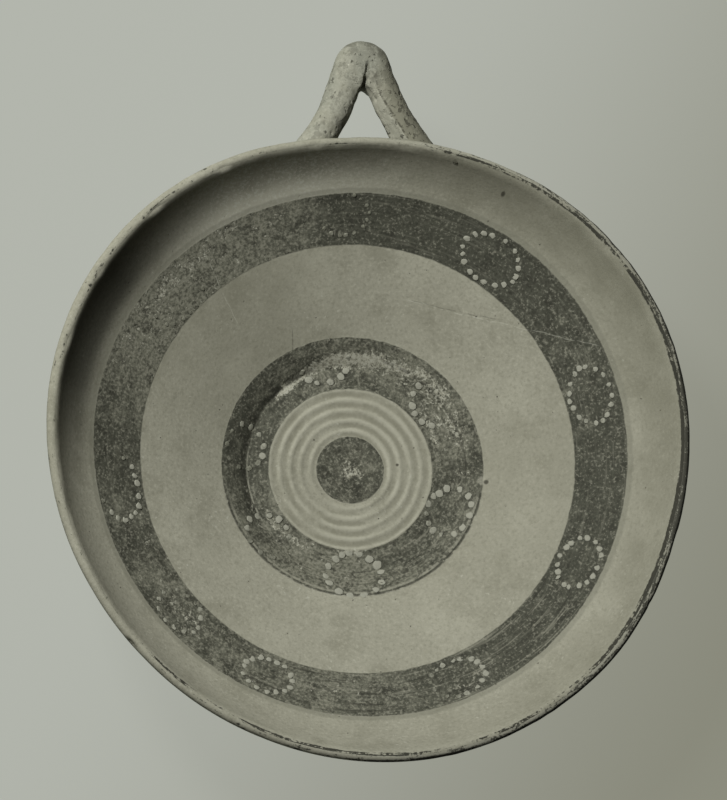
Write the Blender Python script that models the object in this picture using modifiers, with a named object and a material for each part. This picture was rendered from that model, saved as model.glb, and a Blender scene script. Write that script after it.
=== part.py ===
"""Shallow wheel-thrown clay bowl with a ring foot and a wishbone handle.

The bowl stands on its foot ring. +Z is the bowl's axis, the handle points along +Y, and the origin lies on
the table under the middle of the whole outline. The bowl, its foot ring, the two rolled arms of the handle
and the luting clay at each of the handle's roots are separate solids with a hair-wide joint between them.
"""
import math

import bmesh
import bpy
from mathutils import Matrix, Vector

OBJECT_NAME = "wishbone_bowl"
MM = 0.001

# Joint between two pieces of clay
JOINT_GAP = 0.3 * MM

# Bowl
RIM_RADIUS = 125.0 * MM
BOWL_DEPTH = 57.5 * MM
LIP_THICKNESS = 4.2 * MM
WALL_THICKNESS = 5.5 * MM
FLOOR_THICKNESS = 6.5 * MM

# Inside of the bowl, from the middle outwards: disc, finger ridges, plain border and sloping shoulder
CENTRE_DISC_RADIUS = 13.9 * MM
RIDGE_ZONE_WIDTH = 21.0 * MM
RIDGE_COUNT = 5
RIDGE_HEIGHT = 0.45 * MM
FLOOR_BORDER = 7.1 * MM
FLOOR_RISE = 1.5 * MM
SHOULDER_WIDTH = 10.7 * MM
SHOULDER_RISE = 7.0 * MM
SHOULDER_ROUNDING = 0.35

# The wall's inside: a straight flare plus a sweep that steepens it towards the lip
WALL_FLARE_SHARE = 0.66
WALL_SWEEP_POWER = 6.0

# Foot ring, set back from the wall's lowest point
FOOT_SETBACK = 8.2 * MM
FOOT_WIDTH = 8.8 * MM
FOOT_RECESS_DEPTH = 5.0 * MM
FOOT_FLARE = 0.6 * MM
FOOT_EDGE_RADIUS = 1.4 * MM

# Wishbone handle
HANDLE_DROP = 11.5 * MM
HANDLE_RISE = math.radians(4.0)
HANDLE_REACH = 38.5 * MM
ARM_ROOT_SPACING = 41.0 * MM
ARM_ROOT_RADIUS = 7.0 * MM
ARM_RADIUS = 6.3 * MM
ARM_TAPER_LENGTH = 18.0 * MM
CROWN_RADIUS = 11.0 * MM
CROWN_ROUNDING = 6.0 * MM
CROWN_INSET = 0.15 * MM
CROTCH_FILL = 4.5 * MM
FACET_CUT = 0.8 * MM
FACET_TILT = math.radians(30.0)

# Luting clay smeared round each root
LUTING_SPREAD = 2.4 * MM
LUTING_EDGE = 0.7 * MM
LUTING_REACH = 5.5 * MM

# How finely the curves are faceted
BOWL_SIDES = 72
LUTING_SIDES = 32
CROWN_SIDES = 40
RIDGE_STEPS = 4
SHOULDER_STEPS = 4
WALL_STEPS = 14
LIP_STEPS = 8
EDGE_STEPS = 4
CROWN_EDGE_STEPS = 12
LUTING_STEPS = 5
ARM_SIDES_RESOLUTION = 8
ARM_LENGTH_STEPS = 6

# How far a cutting shape reaches past what it cuts
CUT_PAST = 20.0 * MM
MERGE_DISTANCE = 0.01 * MM
HALVINGS = 40

CLAY_COLOUR = "#97927F"
INSIDE_COLOUR = "#8F8B78"
HANDLE_COLOUR = "#A09B88"
LUTING_COLOUR = "#9A9582"
CLAY_ROUGHNESS = 0.85


def clear_scene():
    """Removes what the start-up scene holds."""
    for obj in list(bpy.data.objects):
        bpy.data.objects.remove(obj, do_unlink=True)


def linear_colour(code):
    """Turns an sRGB hex code into a linear colour with alpha."""
    channels = [int(code[i:i + 2], 16) / 255 for i in (1, 3, 5)]
    linear = [c / 12.92 if c <= 0.04045 else ((c + 0.055) / 1.055) ** 2.4 for c in channels]
    return (*linear, 1.0)


def clay_material(name, code):
    """A fired, unglazed clay in one colour."""
    material = bpy.data.materials.new(name)
    material.use_nodes = True
    shader = material.node_tree.nodes["Principled BSDF"]
    shader.inputs["Base Color"].default_value = linear_colour(code)
    shader.inputs["Roughness"].default_value = CLAY_ROUGHNESS
    shader.inputs["Metallic"].default_value = 0.0
    return material


def collection(name):
    """A new collection in the scene."""
    made = bpy.data.collections.new(name)
    bpy.context.scene.collection.children.link(made)
    return made


# Heights on the bowl, above the table

def floor_top():
    """Height of the centre disc."""
    return FOOT_RECESS_DEPTH + FLOOR_THICKNESS


def crest_height():
    """Height of the lip's crest, the highest point of the bowl."""
    return floor_top() + BOWL_DEPTH


def floor_radius():
    """Radius at which the floor meets the sloping shoulder."""
    return CENTRE_DISC_RADIUS + RIDGE_ZONE_WIDTH + FLOOR_BORDER


def shoulder_radius():
    """Radius at which the shoulder turns into the wall."""
    return floor_radius() + SHOULDER_WIDTH


def floor_height(radius):
    """Height of the dished floor, without its ridges."""
    share = (radius - CENTRE_DISC_RADIUS) / (floor_radius() - CENTRE_DISC_RADIUS)
    return floor_top() + FLOOR_RISE * share


def shoulder_height(radius):
    """Height of the convex slope between the floor and the wall."""
    share = (radius - floor_radius()) / SHOULDER_WIDTH
    rounded = math.sin(share * math.pi / 2)
    return floor_top() + FLOOR_RISE + SHOULDER_RISE * (share + (rounded - share) * SHOULDER_ROUNDING)


def lip_centre():
    """Centre of the round lip, as radius and height."""
    return RIM_RADIUS - LIP_THICKNESS / 2, crest_height() - LIP_THICKNESS / 2


def wall_slope(share, rise, run):
    """Slope of the wall's inside at a share of its way to the lip."""
    sweep = (1 - WALL_FLARE_SHARE) * WALL_SWEEP_POWER * share ** (WALL_SWEEP_POWER - 1)
    return (WALL_FLARE_SHARE + sweep) * rise / run


def lip_tilt():
    """Angle at which the wall runs into the lip."""
    radius, height = lip_centre()
    return math.atan(wall_slope(1.0, height - shoulder_height(shoulder_radius()), radius - shoulder_radius()))


def wall_inside(share):
    """A point of the wall's inside and the slope angle there, from 0 at the shoulder to 1 at the lip."""
    radius, height = lip_centre()
    foot_height = shoulder_height(shoulder_radius())
    run = radius - LIP_THICKNESS / 2 * math.sin(lip_tilt()) - shoulder_radius()
    rise = height + LIP_THICKNESS / 2 * math.cos(lip_tilt()) - foot_height
    lifted = WALL_FLARE_SHARE * share + (1 - WALL_FLARE_SHARE) * share ** WALL_SWEEP_POWER
    return shoulder_radius() + run * share, foot_height + rise * lifted, math.atan(wall_slope(share, rise, run))


def wall_outside(share, clearance=0.0):
    """The point of the wall's outside that faces wall_inside(share), pushed out by a clearance."""
    radius, height, angle = wall_inside(share)
    thickness = WALL_THICKNESS + (LIP_THICKNESS - WALL_THICKNESS) * share + clearance
    return radius + thickness * math.sin(angle), height - thickness * math.cos(angle)


def seat_points(drop=0.0):
    """The slanted seat of the foot ring under the bowl: its outer and inner ends, lowered by a drop."""
    radius, height = wall_outside(0.0)
    outer_radius = radius - FOOT_SETBACK
    outer_height = height - FOOT_SETBACK * math.tan(wall_inside(0.0)[2])
    return (outer_radius, outer_height - drop), (outer_radius - FOOT_WIDTH, FOOT_RECESS_DEPTH - drop)


def wall_share_at(height):
    """The wall's share whose outside lies at a height, found by halving."""
    low, high = 0.0, 1.0
    for _ in range(HALVINGS):
        middle = (low + high) / 2
        if wall_outside(middle)[1] < height:
            low = middle
        else:
            high = middle
    return low


# Places of the handle, from the bowl's axis

def handle_height():
    """Height of the arms' centre line where they leave the wall."""
    return crest_height() - HANDLE_DROP


def root_distance():
    """Distance of the arms' roots from the bowl's axis, along the handle."""
    radius = wall_outside(wall_share_at(handle_height()))[0]
    return math.sqrt(radius ** 2 - (ARM_ROOT_SPACING / 2) ** 2)


def crown_distance():
    """Distance of the crown's centre from the bowl's axis."""
    return RIM_RADIUS + HANDLE_REACH - CROWN_RADIUS


def arm_height(distance):
    """Height of the arms' centre line at a distance from the bowl's axis."""
    return handle_height() + (distance - root_distance()) * math.tan(HANDLE_RISE)


def arm_line(side):
    """Start, on the wall, and end, in the crown, of one arm's centre line."""
    start = Vector((side * ARM_ROOT_SPACING / 2, root_distance(), handle_height()))
    end = Vector((side * (CROWN_RADIUS - ARM_RADIUS), crown_distance(), arm_height(crown_distance())))
    return start, end


def bowl_axis_y():
    """Where the bowl's axis stands, so that the origin lies under the middle of the outline."""
    return -HANDLE_REACH / 2


def outline_to_object(name, points, closed, target):
    """A flat outline in the XZ plane, as a mesh of edges."""
    mesh = bpy.data.meshes.new(name)
    edges = [(i, i + 1) for i in range(len(points) - 1)]
    if closed:
        edges.append((len(points) - 1, 0))
    mesh.from_pydata([(radius, 0.0, height) for radius, height in points], edges, [])
    obj = bpy.data.objects.new(name, mesh)
    target.objects.link(obj)
    return obj


def turned(name, points, sides, target, closed=False):
    """A shape turned about its own Z axis from an outline that runs down its outer side."""
    obj = outline_to_object(name, points, closed, target)
    screw = obj.modifiers.new("turn", "SCREW")
    screw.axis = "Z"
    screw.angle = 2 * math.pi
    screw.steps = sides
    screw.render_steps = sides
    screw.use_merge_vertices = True
    screw.merge_threshold = MERGE_DISTANCE
    screw.use_smooth_shade = True
    return obj


def evaluated_mesh(obj):
    """The mesh that an object shows once its modifiers or its curve are worked out."""
    bpy.context.view_layer.update()
    return bpy.data.meshes.new_from_object(obj.evaluated_get(bpy.context.evaluated_depsgraph_get()))


def arc(centre, radius, start, end, steps):
    """Points on an arc in the XZ plane, between two angles from +X."""
    points = []
    for i in range(steps + 1):
        angle = start + (end - start) * i / steps
        points.append((centre[0] + radius * math.cos(angle), centre[1] + radius * math.sin(angle)))
    return points


def block(name, size, target):
    """A block with its origin in the middle of its lower face."""
    mesh = bpy.data.meshes.new(name)
    shape = bmesh.new()
    bmesh.ops.create_cube(shape, size=1.0)
    bmesh.ops.translate(shape, verts=shape.verts, vec=(0.0, 0.0, 0.5))
    bmesh.ops.scale(shape, verts=shape.verts, vec=size)
    shape.to_mesh(mesh)
    shape.free()
    obj = bpy.data.objects.new(name, mesh)
    target.objects.link(obj)
    return obj


def as_guide(obj):
    """Marks an object that only cuts or joins others."""
    obj.hide_render = True
    obj.display_type = "WIRE"
    return obj


def combine(obj, other, operation):
    """Cuts or joins an object with another."""
    boolean = obj.modifiers.new(other.name, "BOOLEAN")
    boolean.operation = operation
    boolean.solver = "EXACT"
    boolean.object = other


def ridge_points():
    """The floor's finger ridges, from the edge of the centre disc to the outer foot of the last."""
    count = RIDGE_COUNT * RIDGE_STEPS
    points = []
    for i in range(count + 1):
        radius = CENTRE_DISC_RADIUS + RIDGE_ZONE_WIDTH * i / count
        wave = math.cos(i / RIDGE_STEPS * 2 * math.pi)
        points.append((radius, floor_height(radius) + RIDGE_HEIGHT * (1 - wave) / 2))
    return points


def lip_points():
    """The round lip, from the wall's inside over the crest to its outside."""
    start = math.pi / 2 + lip_tilt()
    return arc(lip_centre(), LIP_THICKNESS / 2, start, start - math.pi, LIP_STEPS)


def bowl_outline():
    """The bowl's section: out along the inside, over the lip and down the outside to the axis."""
    points = [(0.0, floor_top())]
    points += ridge_points()
    for i in range(SHOULDER_STEPS + 1):
        radius = floor_radius() + SHOULDER_WIDTH * i / SHOULDER_STEPS
        points.append((radius, shoulder_height(radius)))
    points += [wall_inside(i / WALL_STEPS)[:2] for i in range(1, WALL_STEPS)]
    points += lip_points()
    points += [wall_outside(1 - i / WALL_STEPS) for i in range(1, WALL_STEPS + 1)]
    points += seat_points()
    points.append((0.0, FOOT_RECESS_DEPTH))
    return points


def foot_outline():
    """The foot ring's section: from its seat down the outside, under the foot and up the inside."""
    seat_outer, seat_inner = seat_points(drop=JOINT_GAP)
    edge = FOOT_EDGE_RADIUS
    outer = seat_outer[0] + FOOT_FLARE
    inner = seat_inner[0] + FOOT_FLARE
    points = [seat_outer]
    points += arc((outer - edge, edge), edge, 0.0, -math.pi / 2, EDGE_STEPS)
    points += arc((inner + edge, edge), edge, -math.pi / 2, -math.pi, EDGE_STEPS)
    points.append(seat_inner)
    return points


def wall_envelope_outline():
    """The bowl's outside with the joint's width added, closed above the lip and under the wall."""
    radius = RIM_RADIUS + JOINT_GAP
    top = crest_height() + CUT_PAST
    points = [(0.0, top), (radius, top), (radius, lip_centre()[1])]
    points += [wall_outside(1 - i / WALL_STEPS, JOINT_GAP) for i in range(WALL_STEPS + 1)]
    points.append((0.0, wall_outside(0.0, JOINT_GAP)[1]))
    return points


def crown_outline():
    """The section of the pinched crown: a round-edged disc, just thinner than an arm."""
    flat = CROWN_RADIUS - CROWN_ROUNDING
    half_thickness = ARM_RADIUS - CROWN_INSET
    points = [(0.0, half_thickness)]
    for radius, height in arc((0.0, 0.0), 1.0, math.pi / 2, -math.pi / 2, CROWN_EDGE_STEPS):
        points.append((flat + CROWN_ROUNDING * radius, half_thickness * height))
    points.append((0.0, -half_thickness))
    return points


def luting_outline():
    """The section of the luting round an arm: thin along the arm and hollowing out to a wide foot."""
    spread = LUTING_SPREAD - LUTING_EDGE
    points = [(0.0, LUTING_REACH)]
    for i in range(LUTING_STEPS + 1):
        share = i / LUTING_STEPS
        points.append((ARM_ROOT_RADIUS + LUTING_EDGE + spread * share ** 2, LUTING_REACH * (1 - share)))
    points += [(ARM_ROOT_RADIUS + LUTING_SPREAD, -LUTING_REACH), (0.0, -LUTING_REACH)]
    return points


def arm_tube(name, side, extra, target):
    """One rolled arm as a tube from inside the wall to the crown, with an extra radius."""
    start, end = arm_line(side)
    along = (end - start).normalized()
    stations = [
        (start - along * CUT_PAST, ARM_ROOT_RADIUS),
        (start, ARM_ROOT_RADIUS),
        (start + along * ARM_TAPER_LENGTH, ARM_RADIUS),
        (end, ARM_RADIUS - 2 * CROWN_INSET),
    ]
    curve = bpy.data.curves.new(name + "_line", "CURVE")
    curve.dimensions = "3D"
    curve.fill_mode = "FULL"
    curve.bevel_depth = 1.0
    curve.bevel_resolution = ARM_SIDES_RESOLUTION
    curve.resolution_u = ARM_LENGTH_STEPS
    curve.use_fill_caps = True
    spline = curve.splines.new("BEZIER")
    spline.radius_interpolation = "EASE"
    spline.bezier_points.add(len(stations) - 1)
    for point, (place, radius) in zip(spline.bezier_points, stations):
        point.co = place
        point.radius = radius + extra
        point.handle_left_type = "VECTOR"
        point.handle_right_type = "VECTOR"
    line = bpy.data.objects.new(name + "_line", curve)
    target.objects.link(line)
    mesh = evaluated_mesh(line)
    shape = bmesh.new()
    shape.from_mesh(mesh)
    bmesh.ops.remove_doubles(shape, verts=shape.verts, dist=MERGE_DISTANCE)
    shape.to_mesh(mesh)
    shape.free()
    obj = bpy.data.objects.new(name, mesh)
    obj.matrix_world = line.matrix_world
    target.objects.link(obj)
    bpy.data.objects.remove(line, do_unlink=True)
    return obj


def facet_block(name, side, target):
    """The block that pares an arm's inner side flat, before the crown is joined on."""
    start, end = arm_line(side)
    along = (end - start).normalized()
    inward = Vector((-side, 0.0, 0.0))
    inward = (inward - along * inward.dot(along)).normalized()
    upward = Vector((0.0, 0.0, 1.0))
    upward = (upward - along * upward.dot(along)).normalized()
    outward = inward * math.cos(FACET_TILT) + upward * math.sin(FACET_TILT)
    across = along.cross(outward)
    middle = (start + end) / 2 + outward * (ARM_RADIUS - FACET_CUT)
    length = (end - start).length + 2 * CUT_PAST
    obj = block(name, (CUT_PAST, length, CUT_PAST), target)
    frame = Matrix((across, along, outward)).transposed().to_4x4()
    obj.matrix_world = Matrix.Translation(middle) @ frame
    return obj


def half_space_block(name, side, target):
    """The block that parts the two arms on the handle's middle plane."""
    size = 2 * (RIM_RADIUS + HANDLE_REACH)
    obj = block(name, (size, size, size), target)
    turn = Matrix.Rotation(-side * math.pi / 2, 4, "Y")
    obj.matrix_world = Matrix.Translation((side * JOINT_GAP / 2, 0.0, 0.0)) @ turn
    return obj


def crown_guide(guides):
    """The pinched crown before it is joined to the arms: a turned disc, cut straight at the crotch."""
    crown = as_guide(turned("crown", crown_outline(), CROWN_SIDES, guides))
    crown.location = (0.0, crown_distance(), arm_height(crown_distance()))
    crown.rotation_euler = (HANDLE_RISE, 0.0, 0.0)
    size = 2 * (CROWN_RADIUS + CUT_PAST)
    crotch = as_guide(block("crotch", (size, size, size), guides))
    crotch.rotation_euler = (math.pi / 2, 0.0, 0.0)
    crotch.location = (0.0, crown_distance() - CROTCH_FILL, crown.location.z)
    combine(crown, crotch, "DIFFERENCE")
    return crown


def build_bowl(parts):
    """The thrown bowl, turned in one piece with its lip, shoulder and finger ridges."""
    bowl = turned("bowl_body", bowl_outline(), BOWL_SIDES, parts)
    bowl.data.materials.append(clay_material("painted_buff_clay", INSIDE_COLOUR))
    return bowl


def build_foot(parts):
    """The ring of clay luted under the floor."""
    foot = turned("foot_ring", foot_outline(), BOWL_SIDES, parts, closed=True)
    foot.data.materials.append(clay_material("buff_clay", CLAY_COLOUR))
    return foot


def build_arm(name, side, parts, guides, crown, envelope):
    """One rolled arm of the wishbone with its half of the pinched crown."""
    arm = arm_tube(name, side, 0.0, parts)
    combine(arm, as_guide(facet_block(name + "_facet", side, guides)), "DIFFERENCE")
    combine(arm, crown, "UNION")
    combine(arm, as_guide(half_space_block(name + "_parting", side, guides)), "DIFFERENCE")
    combine(arm, envelope, "DIFFERENCE")
    arm.data.materials.append(clay_material(name + "_clay", HANDLE_COLOUR))
    arm.data.shade_smooth()
    arm.modifiers.new("shading", "WEIGHTED_NORMAL")
    return arm


def root_frame(side):
    """A slanted frame at an arm's root: its base lies along the wall and its Z runs along the arm."""
    start, end = arm_line(side)
    along = (end - start).normalized()
    slope = wall_inside(wall_share_at(start.z))[2]
    radial = Vector((start.x, start.y, 0.0)).normalized()
    outward = radial * math.sin(slope) - Vector((0.0, 0.0, 1.0)) * math.cos(slope)
    facing = along.dot(outward)
    lean = (along - outward * facing).normalized()
    frame = Matrix((lean / facing, outward.cross(lean), along)).transposed().to_4x4()
    return Matrix.Translation(start) @ frame


def build_luting(name, side, parts, guides, envelope):
    """The clay smeared round one arm's root, slanted to hug the wall and hollowed to fit the arm."""
    luting = turned(name, luting_outline(), LUTING_SIDES, parts)
    luting.data = evaluated_mesh(luting)
    luting.modifiers.clear()
    luting.data.transform(root_frame(side))
    combine(luting, as_guide(arm_tube(name + "_bore", side, JOINT_GAP, guides)), "DIFFERENCE")
    combine(luting, envelope, "DIFFERENCE")
    luting.data.materials.append(clay_material(name + "_clay", LUTING_COLOUR))
    luting.modifiers.new("shading", "WEIGHTED_NORMAL")
    return luting


def place(objects, parts):
    """Hangs every part and guide on one empty, so that the origin lies under the whole outline."""
    empty = bpy.data.objects.new("bowl_axis", None)
    parts.objects.link(empty)
    for obj in objects:
        obj.parent = empty
    empty.location = (0.0, bowl_axis_y(), 0.0)


def main():
    """Builds the bowl and its handle."""
    clear_scene()
    parts = collection(OBJECT_NAME)
    guides = collection(OBJECT_NAME + "_guides")
    envelope = as_guide(turned("wall_envelope", wall_envelope_outline(), BOWL_SIDES, guides))
    crown = crown_guide(guides)
    build_bowl(parts)
    build_foot(parts)
    for label, side in (("left", -1.0), ("right", 1.0)):
        build_arm(f"handle_{label}_arm", side, parts, guides, crown, envelope)
        build_luting(f"{label}_root_luting", side, parts, guides, envelope)
    place(list(parts.objects) + list(guides.objects), parts)


main()
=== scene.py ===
"""Visual model of a shallow wheel-thrown clay bowl with a wishbone handle.

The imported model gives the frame: the bowl stands on its foot ring, +Z is the bowl's axis and the handle
points along +Y. Sizes of the forms below are in millimetres from the bowl's axis and from the table.
They turn into metres where a mesh is made.
"""
from __future__ import annotations

import logging
import math
from dataclasses import dataclass
from enum import Enum
from typing import Sequence

import bmesh
import bpy
import numpy as np
from mathutils import Matrix, Vector, noise


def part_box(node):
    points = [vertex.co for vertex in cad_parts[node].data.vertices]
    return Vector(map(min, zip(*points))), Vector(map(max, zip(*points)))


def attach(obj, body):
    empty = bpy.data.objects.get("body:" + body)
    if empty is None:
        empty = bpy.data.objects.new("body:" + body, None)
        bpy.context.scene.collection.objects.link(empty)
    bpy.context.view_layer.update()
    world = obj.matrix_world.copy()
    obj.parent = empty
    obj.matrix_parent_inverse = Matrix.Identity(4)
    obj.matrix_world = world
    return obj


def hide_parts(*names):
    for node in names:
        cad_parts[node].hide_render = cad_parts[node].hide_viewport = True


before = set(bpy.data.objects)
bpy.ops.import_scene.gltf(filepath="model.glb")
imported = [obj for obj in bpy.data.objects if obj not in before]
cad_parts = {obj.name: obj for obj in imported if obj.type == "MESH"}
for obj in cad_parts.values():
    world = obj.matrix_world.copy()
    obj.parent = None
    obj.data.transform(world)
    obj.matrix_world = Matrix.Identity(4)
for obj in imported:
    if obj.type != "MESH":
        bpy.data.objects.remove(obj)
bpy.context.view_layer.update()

LOG = logging.getLogger("wishbone_bowl")
MM = 0.001

Socket = bpy.types.NodeSocket
Tree = bpy.types.NodeTree
VECTOR_MATH = "ShaderNodeVectorMath"


def linear(code: str) -> tuple[float, float, float, float]:
    """Turns an sRGB hex code into a linear colour.

    Args:
        code: Colour as "#RRGGBB".

    Returns:
        Red, green, blue and alpha in linear light.
    """
    channels = [int(code[i:i + 2], 16) / 255 for i in (1, 3, 5)]
    low = [c / 12.92 if c <= 0.04045 else ((c + 0.055) / 1.055) ** 2.4 for c in channels]
    return low[0], low[1], low[2], 1.0


def add_node(tree: Tree, kind: str, inputs: dict | None = None, **settings: object) -> bpy.types.Node:
    """Adds a node, sets its properties, and sets or links its inputs.

    Args:
        tree: Node tree that gets the node.
        kind: Blender's identifier of the node type.
        inputs: For each input, by name or number, a plain value or what to link: a Value, a socket or
            a node.
        **settings: Properties of the node itself.

    Returns:
        The new node.
    """
    node = tree.nodes.new(kind)
    for name, value in settings.items():
        setattr(node, name, value)
    for key, value in (inputs or {}).items():
        if isinstance(value, Value):
            value = value.socket
        if isinstance(value, bpy.types.Node):
            value = value.outputs[0]
        if isinstance(value, Socket):
            tree.links.new(value, node.inputs[key])
        else:
            node.inputs[key].default_value = value
    return node


class Value:
    """A number carried by a socket. Sums and products with it become Math nodes."""

    def __init__(self, tree: Tree, socket: Socket) -> None:
        """Keeps the tree and the socket."""
        self.tree = tree
        self.socket = socket

    def math(self, operation: str, *others: "Value | float") -> "Value":
        """Works out a Math node's operation on this value and others.

        Args:
            operation: Blender's name of the operation.
            *others: What goes into the node's further inputs.

        Returns:
            The result.
        """
        inputs = {0: self}
        inputs.update({place + 1: other for place, other in enumerate(others)})
        node = add_node(self.tree, "ShaderNodeMath", inputs, operation=operation)
        return Value(self.tree, node.outputs[0])

    def __add__(self, other: "Value | float") -> "Value":
        """This value and another, added."""
        return self.math("ADD", other)

    def __sub__(self, other: "Value | float") -> "Value":
        """This value less another."""
        return self.math("SUBTRACT", other)

    def __mul__(self, other: "Value | float") -> "Value":
        """This value times another."""
        return self.math("MULTIPLY", other)

    def __truediv__(self, other: "Value | float") -> "Value":
        """This value divided by another."""
        return self.math("DIVIDE", other)

    def rise(self, low: float, high: float) -> "Value":
        """Turns smoothly from 0 at low to 1 at high. With low above high it falls instead.

        Args:
            low: Where the result is 0.
            high: Where the result is 1.

        Returns:
            The smooth step.
        """
        node = add_node(
            self.tree, "ShaderNodeMapRange", {"Value": self, "From Min": low, "From Max": high},
            interpolation_type="SMOOTHSTEP")
        return Value(self.tree, node.outputs[0])

    def between(self, low: float, high: float, soft: float) -> "Value":
        """1 between low and high and 0 outside, with soft edges of a given width."""
        return self.rise(low - soft, low + soft) * self.rise(high + soft, high - soft)


def add_value(tree: Tree, kind: str, inputs: dict | None = None, output: int | str = 0,
              **settings: object) -> Value:
    """Adds a node as add_node does and takes one of its outputs as a number.

    Args:
        tree: Node tree that gets the node.
        kind: Blender's identifier of the node type.
        inputs: For each input, by name or number, a plain value or what to link.
        output: Name or number of the output to take.
        **settings: Properties of the node itself.

    Returns:
        The output as a number to reckon with.
    """
    return Value(tree, add_node(tree, kind, inputs, **settings).outputs[output])


def plain_mesh(obj: bpy.types.Object) -> bpy.types.Mesh:
    """Works out an object's modifiers into a plain mesh.

    Args:
        obj: Object whose modifiers are live.

    Returns:
        A new mesh that needs no modifier.
    """
    bpy.context.view_layer.update()
    return bpy.data.meshes.new_from_object(obj.evaluated_get(bpy.context.evaluated_depsgraph_get()))


def new_object(name: str, mesh: bpy.types.Mesh) -> bpy.types.Object:
    """Links a new object at the origin.

    Args:
        name: The object's name.
        mesh: Its mesh, in the frame's metres.

    Returns:
        The linked object.
    """
    obj = bpy.data.objects.new(name, mesh)
    bpy.context.scene.collection.objects.link(obj)
    return obj


def face_outwards(mesh: bpy.types.Mesh) -> None:
    """Turns the faces of a closed mesh outwards.

    Args:
        mesh: Mesh whose seams are already merged.
    """
    shape = bmesh.new()
    shape.from_mesh(mesh)
    bmesh.ops.recalc_face_normals(shape, faces=shape.faces)
    shape.to_mesh(mesh)
    shape.free()


def read_rows(items: Sequence, name: str) -> np.ndarray:
    """Reads a vector of each item of a mesh.

    Args:
        items: The mesh's vertices or vertex normals.
        name: Blender's name of the vector.

    Returns:
        One row of x, y and z for each item.
    """
    flat = np.zeros(len(items) * 3, np.float32)
    items.foreach_get(name, flat)
    return flat.reshape(-1, 3).astype(float)


def put_corners(mesh: bpy.types.Mesh, places: np.ndarray) -> None:
    """Writes vertex places back into a mesh."""
    mesh.vertices.foreach_set("co", places.astype(np.float32).ravel())
    mesh.update()


def store(mesh: bpy.types.Mesh, name: str, values: np.ndarray) -> None:
    """Stores one number for each vertex under a name that a tree or a material can read."""
    attribute = mesh.attributes.get(name) or mesh.attributes.new(name, "FLOAT", "POINT")
    attribute.data.foreach_set("value", np.asarray(values, np.float32))


def direction(azimuth: float, elevation: float) -> Vector:
    """The unit vector towards an azimuth and an elevation in degrees."""
    turn, lift = math.radians(azimuth), math.radians(elevation)
    return Vector((math.cos(lift) * math.cos(turn), math.cos(lift) * math.sin(turn), math.sin(lift)))


def turn_between(first: np.ndarray | float, second: np.ndarray | float) -> np.ndarray:
    """Signed angle from the second direction to the first, in degrees from -180 to 180."""
    return (np.asarray(first) - second + 180.0) % 360.0 - 180.0


def swells(places: np.ndarray, size: float, seed: float) -> np.ndarray:
    """Smooth noise from about -1 to 1.

    Args:
        places: Places in metres, one row each.
        size: Length of the swells in millimetres.
        seed: Shift that gives another noise.

    Returns:
        One value for each place.
    """
    shift = Vector((seed * 17.3, seed * 5.7, seed * 11.1))
    return np.array([noise.noise(Vector(place) / (size * MM) + shift) for place in places])


class Inputs:
    """Named inputs of a geometry tree, set on a modifier by their identifiers."""

    def __init__(self, tree: Tree, kinds: dict[str, str]) -> None:
        """Adds an input socket for each name.

        Args:
            tree: Geometry tree that gets the sockets.
            kinds: Socket type for each input's name.
        """
        self.tree = tree
        tree.interface.new_socket("Geometry", in_out="OUTPUT", socket_type="NodeSocketGeometry")
        for name, kind in kinds.items():
            tree.interface.new_socket(name, in_out="INPUT", socket_type=kind)
        self.node = tree.nodes.new("NodeGroupInput")

    def __getitem__(self, name: str) -> Socket:
        """The socket that carries an input inside the tree."""
        return self.node.outputs[name]

    def value(self, name: str) -> Value:
        """An input as a number to reckon with."""
        return Value(self.tree, self[name])

    def apply(self, obj: bpy.types.Object, values: dict[str, object]) -> None:
        """Puts the tree on an object, sets its inputs and keeps the result as a plain mesh.

        Args:
            obj: Object whose mesh feeds the tree.
            values: Value for each named input.
        """
        modifier = obj.modifiers.new(self.tree.name, "NODES")
        modifier.node_group = self.tree
        for item in self.tree.interface.items_tree:
            if item.in_out == "INPUT" and item.name in values:
                modifier[item.identifier] = values[item.name]
        obj.data = plain_mesh(obj)
        obj.modifiers.clear()


# The forms and their sizes

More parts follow.
